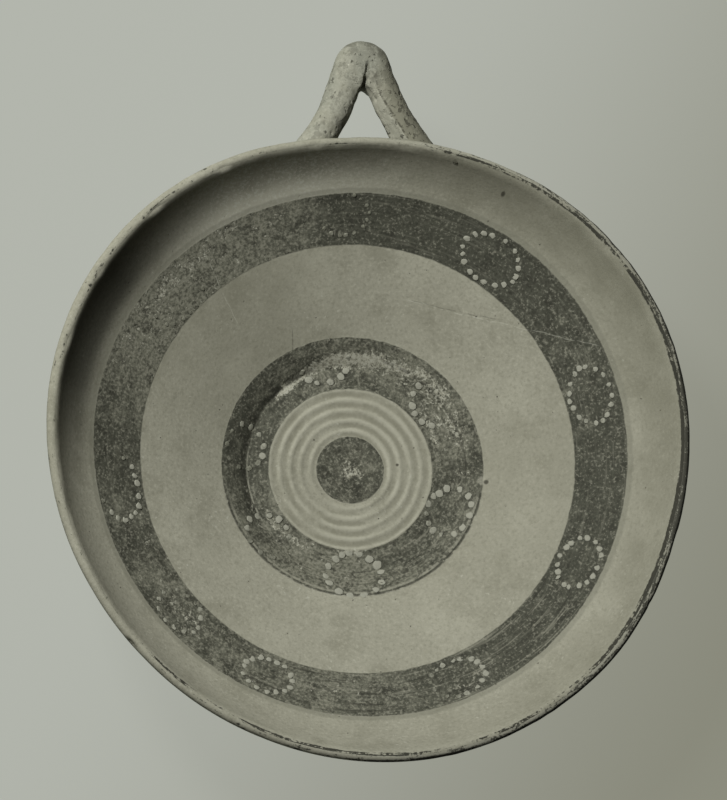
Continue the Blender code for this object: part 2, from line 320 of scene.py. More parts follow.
@dataclass
class BowlForm:
    """Sizes of the thrown bowl and its section, in millimetres."""

    # How many points the section has in each stretch
    SHOULDER_POINTS = 17
    WALL_POINTS = 56
    LIP_POINTS = 19
    OUTSIDE_POINTS = 44
    EDGE_POINTS = 7

    rim_radius: float = 125.0
    crest: float = 69.0
    lip_thickness: float = 4.2
    wall_thickness: float = 5.5
    floor_top: float = 11.5
    recess: float = 5.0
    disc_radius: float = 13.6
    ridge_count: int = 5
    ridge_pitch: float = 4.2
    ridge_height: float = 0.38
    ridge_sharpness: float = 1.7
    ridge_gap: float = 0.3
    floor_radius: float = 42.0
    floor_rise: float = 1.5
    shoulder_radius: float = 52.7
    shoulder_rise: float = 7.0
    shoulder_rounding: float = 0.35
    flare_share: float = 0.72
    sweep_power: float = 9.0
    foot_setback: float = 8.2
    foot_width: float = 8.8
    foot_flare: float = 0.6
    foot_edge: float = 1.4

    @property
    def lip_centre(self) -> tuple[float, float]:
        """Radius and height of the middle of the round lip."""
        return self.rim_radius - self.lip_thickness / 2, self.crest - self.lip_thickness / 2

    @property
    def wall_start(self) -> float:
        """Height at which the wall leaves the shoulder."""
        return self.floor_top + self.floor_rise + self.shoulder_rise

    def wall_slope(self, share: float, rise: float, run: float) -> float:
        """Slope of the wall's inside at a share of its way up."""
        sweep = (1 - self.flare_share) * self.sweep_power * share ** (self.sweep_power - 1)
        return (self.flare_share + sweep) * rise / run

    @property
    def lip_tilt(self) -> float:
        """Angle at which the wall runs into the lip."""
        radius, height = self.lip_centre
        return math.atan(self.wall_slope(1.0, height - self.wall_start, radius - self.shoulder_radius))

    def wall_inside(self, share: float) -> tuple[float, float, float]:
        """A point of the wall's inside.

        Args:
            share: Way from the shoulder, 0, to the lip, 1.

        Returns:
            Radius, height and slope angle.
        """
        radius, height = self.lip_centre
        half = self.lip_thickness / 2
        run = radius - half * math.sin(self.lip_tilt) - self.shoulder_radius
        rise = height + half * math.cos(self.lip_tilt) - self.wall_start
        lifted = self.flare_share * share + (1 - self.flare_share) * share ** self.sweep_power
        angle = math.atan(self.wall_slope(share, rise, run))
        return self.shoulder_radius + run * share, self.wall_start + rise * lifted, angle

    def wall_outside(self, share: float, depth: float = 1.0) -> tuple[float, float]:
        """The point across the wall from wall_inside(share), or a part of the way there.

        Args:
            share: Way from the shoulder, 0, to the lip, 1.
            depth: Part of the wall's thickness to go.

        Returns:
            Radius and height.
        """
        radius, height, angle = self.wall_inside(share)
        thickness = self.wall_thickness + (self.lip_thickness - self.wall_thickness) * share
        return radius + depth * thickness * math.sin(angle), height - depth * thickness * math.cos(angle)

    def seat(self) -> tuple[tuple[float, float], tuple[float, float]]:
        """Finds where the foot ring sits under the floor.

        Returns:
            Outer and inner end of the seat, each as radius and height.
        """
        radius, height = self.wall_outside(0.0)
        outer = radius - self.foot_setback
        outer_height = height - self.foot_setback * math.tan(self.wall_inside(0.0)[2])
        return (outer, outer_height), (outer - self.foot_width, self.recess)

    def floor_at(self, radius: float) -> float:
        """Works out the dished floor with its finger ridges.

        Args:
            radius: Distance from the axis.

        Returns:
            The floor's height there.
        """
        beyond = max(0.0, radius - self.disc_radius)
        height = self.floor_top
        height += self.floor_rise * beyond / (self.floor_radius - self.disc_radius)
        turns = (radius - self.disc_radius - self.ridge_gap) / self.ridge_pitch
        if 0 < turns < self.ridge_count:
            swell = (1 - math.cos(turns * 2 * math.pi)) / 2
            height += self.ridge_height * swell ** self.ridge_sharpness
        return height

    def shoulder_at(self, radius: float) -> float:
        """Works out the sloping shoulder between the floor and the wall.

        Args:
            radius: Distance from the axis.

        Returns:
            The shoulder's height there.
        """
        share = (radius - self.floor_radius) / (self.shoulder_radius - self.floor_radius)
        rounded = math.sin(share * math.pi / 2)
        lifted = share + (rounded - share) * self.shoulder_rounding
        return self.floor_top + self.floor_rise + self.shoulder_rise * lifted

    def section(self) -> tuple[list[tuple[float, float]], list[float]]:
        """The bowl's section, out along the inside, over the lip and down the outside.

        Returns:
            Points as radius and height, and for each the turn round the lip: -1 inside, 1 where the
            outside starts and up to 3 further down it.
        """
        # Start, end and step of each stretch of the floor: finest over the ridges
        stretches = ((0.0, 13.0, 1.3), (13.0, 36.0, 0.42), (36.2, self.floor_radius, 0.8))
        points = [(radius, self.floor_at(radius)) for span in stretches for radius in np.arange(*span)]
        shoulder = np.linspace(self.floor_radius, self.shoulder_radius, self.SHOULDER_POINTS)
        points += [(radius, self.shoulder_at(radius)) for radius in shoulder]
        up = np.linspace(0.0, 1.0, self.WALL_POINTS)[1:-1]
        points += [self.wall_inside(share)[:2] for share in up]
        turns = [-1.0] * len(points)
        centre_radius, centre_height = self.lip_centre
        half = self.lip_thickness / 2
        for share in np.linspace(0.0, 1.0, self.LIP_POINTS):
            angle = math.pi / 2 + self.lip_tilt - share * math.pi
            radius = centre_radius + half * math.cos(angle)
            points.append((radius, centre_height + half * math.sin(angle)))
            turns.append(2 * share - 1)
        down = np.linspace(0.0, 1.0, self.OUTSIDE_POINTS)[1:]
        points += [self.wall_outside(1 - share) for share in down]
        turns += [1 + 2 * share for share in down]
        outer, (inner, recess_height) = self.seat()
        underside = [outer, (inner, recess_height), (inner / 2, recess_height), (0.0, recess_height)]
        points += underside
        turns += [3.0] * len(underside)
        return points, turns

    def foot_section(self, joint: float) -> list[tuple[float, float]]:
        """The foot ring's closed section, from its seat down the outside and up the inside.

        Args:
            joint: Width of the joint between the ring and the bowl.

        Returns:
            Points as radius and height; the last repeats the first.
        """
        (outer, outer_height), (inner, inner_height) = self.seat()
        edge = self.foot_edge
        points = [(outer, outer_height - joint)]
        for height in np.linspace(outer_height - joint, edge, 14)[1:-1]:
            lean = self.foot_flare * (outer_height - height) / outer_height
            points.append((outer + lean, height))
        low_outer = outer + self.foot_flare
        low_inner = inner + self.foot_flare
        for angle in np.linspace(0.0, -math.pi / 2, self.EDGE_POINTS):
            points.append((low_outer - edge + edge * math.cos(angle), edge + edge * math.sin(angle)))
        for radius in np.linspace(low_outer - edge, low_inner + edge, self.EDGE_POINTS)[1:-1]:
            points.append((radius, 0.0))
        for angle in np.linspace(-math.pi / 2, -math.pi, self.EDGE_POINTS):
            points.append((low_inner + edge + edge * math.cos(angle), edge + edge * math.sin(angle)))
        for height in np.linspace(edge, inner_height - joint, 6)[1:]:
            points.append((inner, height))
        points.append(points[0])
        return points


@dataclass
class HandleForm:
    """Sizes of the wishbone handle, in millimetres from the bowl's axis."""

    root: tuple[float, float, float] = (22.4, 117.0, 57.5)
    top: tuple[float, float, float] = (4.7, 152.5, 59.9)
    root_radius: float = 7.3
    arm_radius: float = 5.8
    right_swell: float = 0.5
    bend: float = 2.2
    lean: float = 0.7
    facet_top_cut: float = 0.0
    facet_root_cut: float = 1.3
    facet_tilt: float = 34.0
    crown_radius: float = 11.5
    crown_rounding: float = 6.0
    crotch: float = 145.4
    smear: float = 3.6
    smear_reach: float = 9.0
    wall_inset: float = 0.45
    grain: float = 0.5

    def facet(self) -> tuple[float, float, float]:
        """Works out which way the pared inner side of the right arm faces.

        Returns:
            The direction as x, y and z.
        """
        along = (Vector(self.top) - Vector(self.root)).normalized()
        inward = Vector((-1.0, 0.0, 0.0))
        inward = (inward - along * inward.dot(along)).normalized()
        upward = Vector((0.0, 0.0, 1.0))
        upward = (upward - along * upward.dot(along)).normalized()
        tilt = math.radians(self.facet_tilt)
        return tuple(inward * math.cos(tilt) + upward * math.sin(tilt))


# Marks of making, wear and age, and painted shade and highlights, placed by azimuth in degrees and radius
# in millimetres

@dataclass(frozen=True)
class WornPatch:
    """A patch where the slip is rubbed or flaked away."""

    azimuth: float
    radius: float
    half_turn: float
    half_width: float
    strength: float

    def wear(self, azimuth: np.ndarray, radius: np.ndarray) -> np.ndarray:
        """Works out how worn each place is by this patch.

        Args:
            azimuth: Azimuths of the places, in degrees.
            radius: Their distances from the axis, in millimetres.

        Returns:
            The wear at each place, up to the patch's strength.
        """
        turn = turn_between(azimuth, self.azimuth) / self.half_turn
        across = (radius - self.radius) / self.half_width
        return self.strength * np.exp(-turn ** 2 - across ** 2)


@dataclass(frozen=True)
class LipChip:
    """A chip or nick in the lip."""

    azimuth: float
    length: float
    turn: float
    spread: float
    depth: float

    def cut(self, azimuth: np.ndarray, lip_turn: np.ndarray, radius: float) -> np.ndarray:
        """Works out how deep the chip cuts.

        Args:
            azimuth: Azimuths of the places, in degrees.
            lip_turn: How far round the lip they lie, from -1 inside to 1 outside.
            radius: The rim's radius in millimetres.

        Returns:
            The depth at each place, in millimetres.
        """
        along = np.radians(turn_between(azimuth, self.azimuth)) * radius / (self.length / 2)
        across = (lip_turn - self.turn) / self.spread
        return self.depth * np.exp(-along ** 4 - across ** 2)


@dataclass(frozen=True)
class Spot:
    """A pit, a blotch or a pale place, with the distance at which it has faded."""

    azimuth: float
    radius: float
    size: float


@dataclass(frozen=True)
class Scratch:
    """A hairline crack or scratch in the inside, from one place to another."""

    start: tuple[float, float]
    end: tuple[float, float]
    width: float
    cover: float
    pale: bool = False

    def ends(self) -> tuple[Vector, Vector]:
        """Turns the ends into plan places.

        Returns:
            Start and end in millimetres from the axis.
        """
        places = []
        for azimuth, radius in (self.start, self.end):
            angle = math.radians(azimuth)
            places.append(Vector((radius * math.cos(angle), radius * math.sin(angle), 0.0)))
        return places[0], places[1]


@dataclass(frozen=True)
class TurnedLineOrPaintedLight:
    """A thin line along a part of a circle: a line that the turning wheel or wear left, or a line of
    painted shade or painted highlight.
    """

    azimuth: float
    radius: float
    half_turn: float
    half_width: float
    cover: float
    pale: bool = False


@dataclass(frozen=True)
class DotCircle:
    """A circle of white slip dots. Its own directions are clockwise for right and outwards for up."""

    azimuth: float
    radius: float
    width: float
    height: float
    dots: int
    size: float
    strength: float = 1.0
    start: float = 0.0
    worn_toward: float = 0.0
    worn_share: float = 0.0


class Side(Enum):
    """The two painted bands that carry circles of dots."""

    OUTER = "outer_band"
    INNER = "inner_band"


WORN_PATCHES = (
    WornPatch(0, 1.5, 360, 4.0, 0.36),
    WornPatch(131, 41.2, 7, 1.7, 0.60),
    WornPatch(118, 42.4, 12, 2.2, 0.48),
    WornPatch(98, 44.2, 13, 2.4, 0.50),
    WornPatch(87, 46.0, 13, 0.8, 0.30),
    WornPatch(80, 45.0, 14, 3.2, 0.37),
    WornPatch(48, 48.5, 12, 1.6, 0.30),
    WornPatch(60, 45.5, 14, 4.0, 0.33),
    WornPatch(32, 44.0, 16, 6.0, 0.26),
    WornPatch(10, 46.0, 12, 4.0, 0.18),
    WornPatch(25, 37.0, 14, 2.0, 0.30),
    WornPatch(212, 38.5, 12, 2.0, 0.28),
    WornPatch(233, 37.5, 14, 1.6, 0.32),
    WornPatch(272, 33.4, 7, 0.9, 0.80),
    WornPatch(200, 43.0, 25, 1.2, 0.26),
    WornPatch(197, 92.0, 8, 5.0, 0.18),
    WornPatch(223, 96.0, 9, 6.0, 0.24),
    WornPatch(268, 94.0, 10, 6.0, 0.14),
    WornPatch(295, 98.0, 7, 6.0, 0.28),
    WornPatch(140, 101.0, 20, 3.0, 0.16),
)

LIP_CHIPS = (
    LipChip(221.5, 5.0, 0.55, 0.55, 0.9),
    LipChip(39.5, 4.0, -0.2, 0.6, 0.7),
    LipChip(118, 4.5, -0.7, 0.5, 0.6),
    LipChip(133, 6.0, -0.75, 0.5, 0.7),
    LipChip(149, 3.5, -0.6, 0.5, 0.6),
    LipChip(163, 5.0, -0.7, 0.5, 0.5),
    LipChip(100, 3.0, -0.6, 0.5, 0.4),
    LipChip(330, 3.0, 0.3, 0.5, 0.5),
    LipChip(12, 3.5, -0.3, 0.5, 0.5),
)

SCRATCHES = (
    Scratch((72.0, 69.8), (42.0, 82.9), 0.16, 0.45, True),
    Scratch((70.5, 70.2), (46.0, 80.6), 0.12, 0.40),
    Scratch((42.0, 82.9), (25.4, 105.2), 0.14, 0.30, True),
    Scratch((114.1, 59.4), (122.7, 42.8), 0.18, 0.45),
    Scratch((128.0, 99.5), (131.0, 72.6), 0.14, 0.40, True),
)

TURNED_LINES_AND_PAINTED_LIGHT = (
    TurnedLineOrPaintedLight(30, 45.9, 45, 0.9, 0.55),
    # Painted shadow in the corner where the shoulder rises from the floor, on the side away from the light
    TurnedLineOrPaintedLight(160, 43.4, 48, 2.0, 0.75),
    # Painted highlight along the edge of the floor beside that shadow
    TurnedLineOrPaintedLight(195, 41.7, 22, 0.5, 0.60, True),
    # Painted shade along the shoulder's outer edge, and just inside it a painted highlight where the edge
    # catches the light
    TurnedLineOrPaintedLight(272, 52.5, 80, 0.8, 0.65),
    TurnedLineOrPaintedLight(272, 51.4, 74, 0.7, 0.60, True),
)

INSIDE_PITS = (
    Spot(353.9, 53.9, 1.3),
    Spot(61.7, 116.7, 1.1),
    Spot(7.2, 19.2, 0.8),
    Spot(140.6, 18.8, 0.5),
)
RUBBED_SPOT = Spot(354.6, 52.3, 2.4)
HANDLE_BLOTCHES = (Spot(88.0, 161.0, 7.5), Spot(92.2, 162.5, 4.5), Spot(89.0, 149.0, 3.5))

DOT_CIRCLES = {
    Side.OUTER: (
        DotCircle(15.6, 95.9, 22.6, 14.7, 17, 2.5, 0.75, 14),
        DotCircle(56.6, 96.4, 25.0, 16.0, 18, 2.4, 0.78, 6),
        DotCircle(93.8, 97.4, 21.0, 14.6, 17, 2.4, 0.34, 6, 150, 0.6),
        DotCircle(139.6, 95.0, 24.0, 15.8, 17, 2.3, 0.26, 14, 0, 0.5),
        DotCircle(189.5, 96.1, 25.5, 16.0, 18, 2.6, 0.82, 15, 45, 0.85),
        DotCircle(221.9, 95.6, 19.4, 15.0, 14, 2.5, 0.72, 8, 300, 0.4),
        DotCircle(247.2, 95.9, 20.0, 13.9, 16, 2.6, 0.90, 11),
        DotCircle(292.9, 95.9, 21.8, 14.9, 17, 2.5, 0.78, 8, 10, 0.6),
        DotCircle(333.9, 95.9, 21.0, 14.8, 17, 2.5, 0.78, 12),
    ),
    Side.INNER: (
        DotCircle(270.9, 43.3, 21.8, 18.2, 15, 3.4, 1.0, 9, 290, 0.3),
        DotCircle(336.7, 42.6, 19.6, 16.5, 14, 3.1, 0.90, 16, 312, 0.4),
        DotCircle(220.0, 43.8, 19.0, 16.7, 12, 3.0, 0.72, 18, 150, 0.6),
        DotCircle(169.8, 43.2, 17.5, 15.0, 11, 2.9, 0.60, 32, 150, 0.6),
        DotCircle(38.4, 43.1, 19.2, 15.4, 12, 3.0, 0.70, 19, 70, 0.9),
        DotCircle(103.6, 43.4, 18.8, 14.4, 11, 3.0, 0.75, 12, 100, 0.9),
    ),
}

# How far the rim was pulled out of round while the clay was soft, in millimetres by azimuth
RIM_PULL = {0: 1.4, 12: 2.6, 25: 3.3, 35: 3.1, 45: 2.3, 55: 1.1, 65: -0.5, 75: -1.8, 88: -2.8, 95: -3.0,
            103: -2.3, 110: -1.2, 120: 0.1, 130: 0.9, 140: 1.3, 150: 1.4, 160: 1.2, 170: 0.8, 180: 0.0,
            190: -0.8, 200: -1.3, 210: -1.9, 225: -2.0, 240: -1.4, 250: -1.0, 260: -0.3, 270: 0.3,
            280: 0.9, 290: 1.1, 310: 1.1, 316: 1.3, 325: 0.9, 335: 0.3, 342: 0.1, 350: 0.6}

# What changes round the bowl, by azimuth in degrees. The "thin" tables say how thinly a band's slip was
# brushed on or how far it is worn, the "painted_shade" tables how much painted shade darkens the clay,
# the "slip" tables how much slip is left on the lip, and the "shift" tables how many millimetres an edge
# or a line runs from its even place. The last two are the pale scuffs under the lip and the painted
# shadow under the lip beside them.
ROUND_THE_BOWL = {
    "broad_band_thin": {0: -0.15, 30: 0.05, 60: -0.45, 90: -0.20, 105: 0.50, 120: 0.85, 150: 0.98,
                        165: 0.55, 180: 0.05, 210: 0.45, 240: 0.42, 270: 0.48, 300: 0.05, 330: -0.20},
    "broad_band_shift": {10: 0.8, 30: 1.0, 50: 1.6, 70: 1.2, 90: 0.7, 110: 0.0, 130: 0.3, 150: 0.8,
                         170: 1.0, 190: 0.6, 210: 0.1, 230: 0.0, 300: 0.0, 340: 0.3},
    "inner_band_thin": {0: 0.35, 15: 0.50, 30: 0.60, 60: 0.45, 90: 0.55, 110: 0.55, 120: 0.45, 150: 0.0,
                        180: 0.10, 210: 0.45, 240: 0.80, 270: 0.80, 300: 0.30, 330: 0.45},
    "floor_painted_shade": {0: 0.25, 30: 0.05, 50: 0.0, 90: 0.0, 105: 0.25, 120: 0.35, 150: 0.35, 170: 0.0,
                   270: 0.0, 300: 0.05, 330: 0.20},
    "wall_painted_shade": {0: 0.45, 30: 0.55, 50: 0.55, 70: 0.45, 85: 0.0, 200: 0.0, 250: 0.0, 270: 0.05,
                  300: 0.20, 340: 0.40},
    "lip_outer_slip": {0: 1.0, 12: 1.0, 25: 0.9, 40: 0.7, 60: 0.4, 75: 0.1, 100: 0.0, 215: 0.0,
                       228: 0.2, 245: 0.25, 262: 0.50, 280: 0.8, 300: 0.88, 318: 0.85, 335: 0.88,
                       350: 1.0},
    "lip_crest_slip": {0: 0.80, 20: 0.58, 35: 0.38, 50: 0.40, 70: 0.30, 85: 0.10, 100: 0.0, 215: 0.0,
                       240: 0.05, 270: 0.15, 290: 0.40, 305: 0.45, 322: 0.45, 338: 0.58, 350: 0.76},
    "lip_inner_slip": {0: 0.85, 33: 0.80, 36: 0.1, 39: 0.65, 50: 0.60, 60: 0.65, 68: 0.7, 74: 0.4,
                       84: 0.2, 110: 0.1, 120: 0.28, 150: 0.32, 165: 0.2, 175: 0.05, 222: 0.05,
                       226: 0.65, 234: 0.65, 237: 0.15, 244: 0.2, 247: 0.62, 262: 0.62, 275: 0.66,
                       286: 0.4, 312: 0.42, 320: 0.7, 340: 0.9},
    "lip_line_shift": {0: 0.2, 30: 0.5, 60: 0.5, 70: 0.6, 90: 0.2, 120: 0.4, 160: 0.6, 225: -0.3,
                       240: 0.0, 250: 0.4, 265: 0.3, 285: 0.8, 300: 0.5, 312: 0.0, 322: -0.3,
                       345: -0.5},
    "pale_scuffs": {78: 0.0, 90: 0.5, 102: 1.0, 120: 1.0, 134: 0.3, 144: 0.0},
    "lip_painted_shadow": {118: 0.0, 130: 0.4, 146: 1.0, 168: 0.9, 185: 0.15, 195: 0.0},
}


def round_table(table: dict[float, float], azimuth: np.ndarray | float) -> np.ndarray:
    """Reads a table by azimuth, going straight between its entries and on past 360 degrees."""
    return np.interp(azimuth, list(table), list(table.values()), period=360.0)


def rim_pull(azimuth: np.ndarray | float) -> np.ndarray:
    """How far the rim is pulled out at an azimuth, in millimetres."""
    return round_table(RIM_PULL, azimuth)


# The makers: each turns sizes into a mesh

def end_tree(tree: Tree, form: bpy.types.Node, clay: Socket) -> None:
    """Ends a geometry tree with smooth faces, real geometry and the piece's material.

    Args:
        tree: The geometry tree.
        form: Node that gives the finished form.
        clay: Socket that carries the material.
    """
    smooth = add_node(tree, "GeometryNodeSetShadeSmooth", {"Geometry": form, "Shade Smooth": True})
    real = add_node(tree, "GeometryNodeRealizeInstances", {"Geometry": smooth})
    dressed = add_node(tree, "GeometryNodeSetMaterial", {"Geometry": real, "Material": clay})
    add_node(tree, "NodeGroupOutput", {0: dressed})


class Wheel:
    """Turns a section round the bowl's axis, as the potter's wheel does."""

    # Distance in millimetres within which the seam and the points on the axis are merged
    SEAM = 0.02

    def __init__(self, axis_y: float) -> None:
        """Builds the geometry tree.

        Args:
            axis_y: Where the bowl's axis stands, in metres.
        """
        self.axis_y = axis_y
        tree = bpy.data.node_groups.new("turned_on_the_wheel", "GeometryNodeTree")
        self.inputs = Inputs(tree, {
            "Section": "NodeSocketGeometry",
            "Rings": "NodeSocketInt",
            "Sides": "NodeSocketInt",
            "Clay": "NodeSocketMaterial",
        })
        across = self.inputs.value("Sides") + 1.0
        grid = add_node(
            tree, "GeometryNodeMeshGrid", {"Vertices X": self.inputs["Rings"], "Vertices Y": across})
        index = add_node(tree, "GeometryNodeInputIndex")
        ring, side = (
            add_node(tree, "FunctionNodeIntegerMath", {0: index, 1: across}, operation=operation)
            for operation in ("DIVIDE_FLOOR", "MODULO"))
        place = add_node(tree, "GeometryNodeInputPosition")
        lip_turn = add_node(
            tree, "GeometryNodeInputNamedAttribute", {"Name": "lip_turn"}, data_type="FLOAT")
        sampled, lip_sample = (
            add_node(
                tree, "GeometryNodeSampleIndex",
                {"Geometry": self.inputs["Section"], "Value": source, "Index": ring}, data_type=kind)
            for source, kind in ((place, "FLOAT_VECTOR"), (lip_turn, "FLOAT")))
        angle = Value(tree, side.outputs[0]) / self.inputs.value("Sides") * (2 * math.pi)
        turned = add_node(
            tree, "ShaderNodeVectorRotate", {"Vector": sampled, "Angle": angle}, rotation_type="Z_AXIS")
        moved = add_node(tree, "GeometryNodeSetPosition", {"Geometry": grid, "Position": turned})
        stored = add_node(
            tree, "GeometryNodeStoreNamedAttribute",
            {"Geometry": moved, "Name": "lip_turn", "Value": lip_sample},
            data_type="FLOAT", domain="POINT")
        closed = add_node(
            tree, "GeometryNodeMergeByDistance", {"Geometry": stored, "Distance": self.SEAM * MM})
        end_tree(tree, closed, self.inputs["Clay"])

    def turn(self, name: str, points: Sequence[tuple[float, float]], turns: Sequence[float], sides: int,
             clay: bpy.types.Material) -> bpy.types.Object:
        """Turns one section into a closed piece.

        Args:
            name: Name of the piece.
            points: Section as radius and height in millimetres.
            turns: The lip's turn at each point.
            sides: Number of facets round the axis.
            clay: Material of the piece.

        Returns:
            The piece with its place in its mesh.
        """
        mesh = bpy.data.meshes.new(name)
        edges = [(i, i + 1) for i in range(len(points) - 1)]
        mesh.from_pydata([(radius * MM, 0.0, height * MM) for radius, height in points], edges, [])
        store(mesh, "lip_turn", np.array(turns))
        piece = new_object(name, mesh)
        self.inputs.apply(piece, {"Rings": len(points), "Sides": sides, "Clay": clay})
        piece.data.transform(Matrix.Translation((0.0, self.axis_y, 0.0)))
        face_outwards(piece.data)
        return piece


class HandPuller:
    """Rolls two arms, pinches them into a crown and smears their roots into the wall.

    The form is a field of distances to the clay in millimetres, which is turned into a surface.
    """

    # How far and over what length the hand wavers
    WAVER = 1.6
    WAVER_LENGTH = 16.0
    # Along y: where the arms start to bow, bow most and are straight again, and where the crown leans
    BOW = (116.0, 134.0, 153.0)
    LEAN = (120.0, 146.0)
    # Half the width over which the left arm's sizes turn into the right arm's, and how these differ
    MIDDLE = 2.0
    RIGHT_BOW_LOSS = 0.6
    LEFT_PARING = 0.2
    # How softly the pared flat meets the arm, and the arm the crown
    PARED_EDGE = 0.4
    CROWN_BLEND = 2.5
    # How far the crown reaches past the arms' ends, its tilt, and the slopes of the V below it
    CROWN_REACH = 11.0
    CROWN_TILT = 0.07
    LEFT_SLOPE = 1.15
    RIGHT_SLOPE = 0.75
    NOTCH_STEEPNESS = 0.65
    NOTCH_EDGE = 0.3
    # The slit that the pinching left in the crown: its foot, lean and depth, and the hole beside it
    SLIT_FOOT = 145.0
    SLIT_LEAN = 0.2
    SLIT_DEPTH = 1.5
    HOLE = (0.9, 147.6)
    HOLE_DEPTH = 1.8
    # Heights between which the wall was pulled out of round, and how far the smear reaches into the wall
    PULLED = (44.0, 69.0)
    SINK = 0.7
    # Lengths and depths of the dents and of the pits
    DENT = (3.2, 0.7)
    PIT = (2.1, 0.55)
    # The box that the field fills, past the roots along x and in y and z
    BOX_SIDE = 14.0
    BOX_Y = (104.0, 168.0)
    BOX_Z = (44.0, 72.0)

    def __init__(self, axis_y: float) -> None:
        """Builds the geometry tree.

        Args:
            axis_y: Where the bowl's axis stands, in metres.
        """
        self.axis_y = axis_y
        self.tree = bpy.data.node_groups.new("pulled_handle", "GeometryNodeTree")
        names = {
            "Geometry": ("Wall Line",),
            "Vector": ("Root", "Top", "Facet", "Low", "High"),
            "Float": (
                "Root Radius", "Arm Radius", "Right Swell", "Bend", "Lean", "Facet Top Cut",
                "Facet Root Cut", "Crown Radius", "Crown Rounding", "Crotch", "Smear", "Smear Reach",
                "Wall Half", "Rim Push"),
            "Int": ("Steps X", "Steps Y", "Steps Z"),
            "Material": ("Clay",),
        }
        self.inputs = Inputs(
            self.tree, {name: f"NodeSocket{kind}" for kind, group in names.items() for name in group})
        tree = self.tree
        position = add_node(tree, "GeometryNodeInputPosition")
        self.place = add_node(tree, VECTOR_MATH, {0: position, 1: (1 / MM,) * 3}, operation="MULTIPLY")
        hand = add_node(tree, "ShaderNodeTexNoise", {
            "Vector": self.place, "Scale": 1 / self.WAVER_LENGTH, "Detail": 1.0})
        centred = add_node(
            tree, VECTOR_MATH, {0: hand.outputs["Color"], 1: (0.5,) * 3}, operation="SUBTRACT")
        uneven = add_node(
            tree, VECTOR_MATH, {0: centred, 1: (self.WAVER,) * 3, 2: self.place},
            operation="MULTIPLY_ADD")
        axes = add_node(tree, "ShaderNodeSeparateXYZ", {0: uneven})
        self.x, self.y, self.z = (Value(tree, axes.outputs[i]) for i in range(3))
        self.x = self.x + self.y.rise(*self.LEAN) * self.inputs.value("Lean")
        tube, flat = self.arm()
        pared = tube.math("SMOOTH_MAX", flat, self.PARED_EDGE)
        handle = pared.math("SMOOTH_MIN", self.crown(), self.CROWN_BLEND) + self.crease()
        wall, outside = self.wall()
        joined = handle.math("SMOOTH_MIN", wall, self.inputs.value("Smear"))
        limited = joined.math("MAXIMUM", tube - self.inputs.value("Smear Reach"))
        cut = limited.math("MAXIMUM", outside * -1.0 - self.SINK) + self.pits()
        cube = add_node(tree, "GeometryNodeVolumeCube", {
            "Density": cut * -1.0 + 1.0, "Min": self.inputs["Low"], "Max": self.inputs["High"],
            "Resolution X": self.inputs["Steps X"], "Resolution Y": self.inputs["Steps Y"],
            "Resolution Z": self.inputs["Steps Z"]})
        surface = add_node(tree, "GeometryNodeVolumeToMesh", {"Volume": cube, "Threshold": 1.0})
        marked = add_node(
            tree, "GeometryNodeStoreNamedAttribute",
            {"Geometry": surface, "Name": "pared", "Value": flat.rise(-1.4, -0.1)},
            data_type="FLOAT", domain="POINT")
        end_tree(tree, marked, self.inputs["Clay"])

    def arm(self) -> tuple[Value, Value]:
        """Distance to a rolled arm, both arms at once by using x without its sign.

        Returns:
            Distance to the plain tube, and to the flat that its inner side is pared to.
        """
        tree = self.tree
        start, most, end = self.BOW
        middle = self.y.rise(start, most) * self.y.rise(end, most)
        rightward = self.x.rise(-self.MIDDLE, self.MIDDLE)
        bend = self.inputs.value("Bend") * (rightward * -self.RIGHT_BOW_LOSS + 1.0)
        aside = self.x.math("ABSOLUTE") + middle * bend
        folded = add_node(tree, "ShaderNodeCombineXYZ", {"X": aside, "Y": self.y, "Z": self.z})
        root, top = self.inputs["Root"], self.inputs["Top"]
        from_root = add_node(tree, VECTOR_MATH, {0: folded, 1: root}, operation="SUBTRACT")
        along = add_node(tree, VECTOR_MATH, {0: top, 1: root}, operation="SUBTRACT")
        reach = add_value(tree, VECTOR_MATH, {0: from_root, 1: along}, "Value", operation="DOT_PRODUCT")
        square = add_value(tree, VECTOR_MATH, {0: along, 1: along}, "Value", operation="DOT_PRODUCT")
        share = (reach / square).math("MINIMUM", 1.0).math("MAXIMUM", 0.0)
        scaled = add_node(tree, VECTOR_MATH, {0: along, "Scale": share}, operation="SCALE")
        offset = add_node(tree, VECTOR_MATH, {0: from_root, 1: scaled}, operation="SUBTRACT")
        length = add_value(tree, VECTOR_MATH, {0: offset}, "Value", operation="LENGTH")
        toward = add_value(
            tree, VECTOR_MATH, {0: offset, 1: self.inputs["Facet"]}, "Value", operation="DOT_PRODUCT")
        from_top = share * -1.0 + 1.0
        arm_radius = self.inputs.value("Arm Radius")
        widening = (self.inputs.value("Root Radius") - arm_radius) * from_top.math("POWER", 2.0)
        radius = arm_radius + widening + self.inputs.value("Right Swell") * rightward * from_top
        top_cut = self.inputs.value("Facet Top Cut")
        pare = top_cut + (self.inputs.value("Facet Root Cut") - top_cut) * from_top
        uneven_pare = pare * (rightward * (1 - self.LEFT_PARING) + self.LEFT_PARING)
        return length - radius, toward - (radius - uneven_pare)

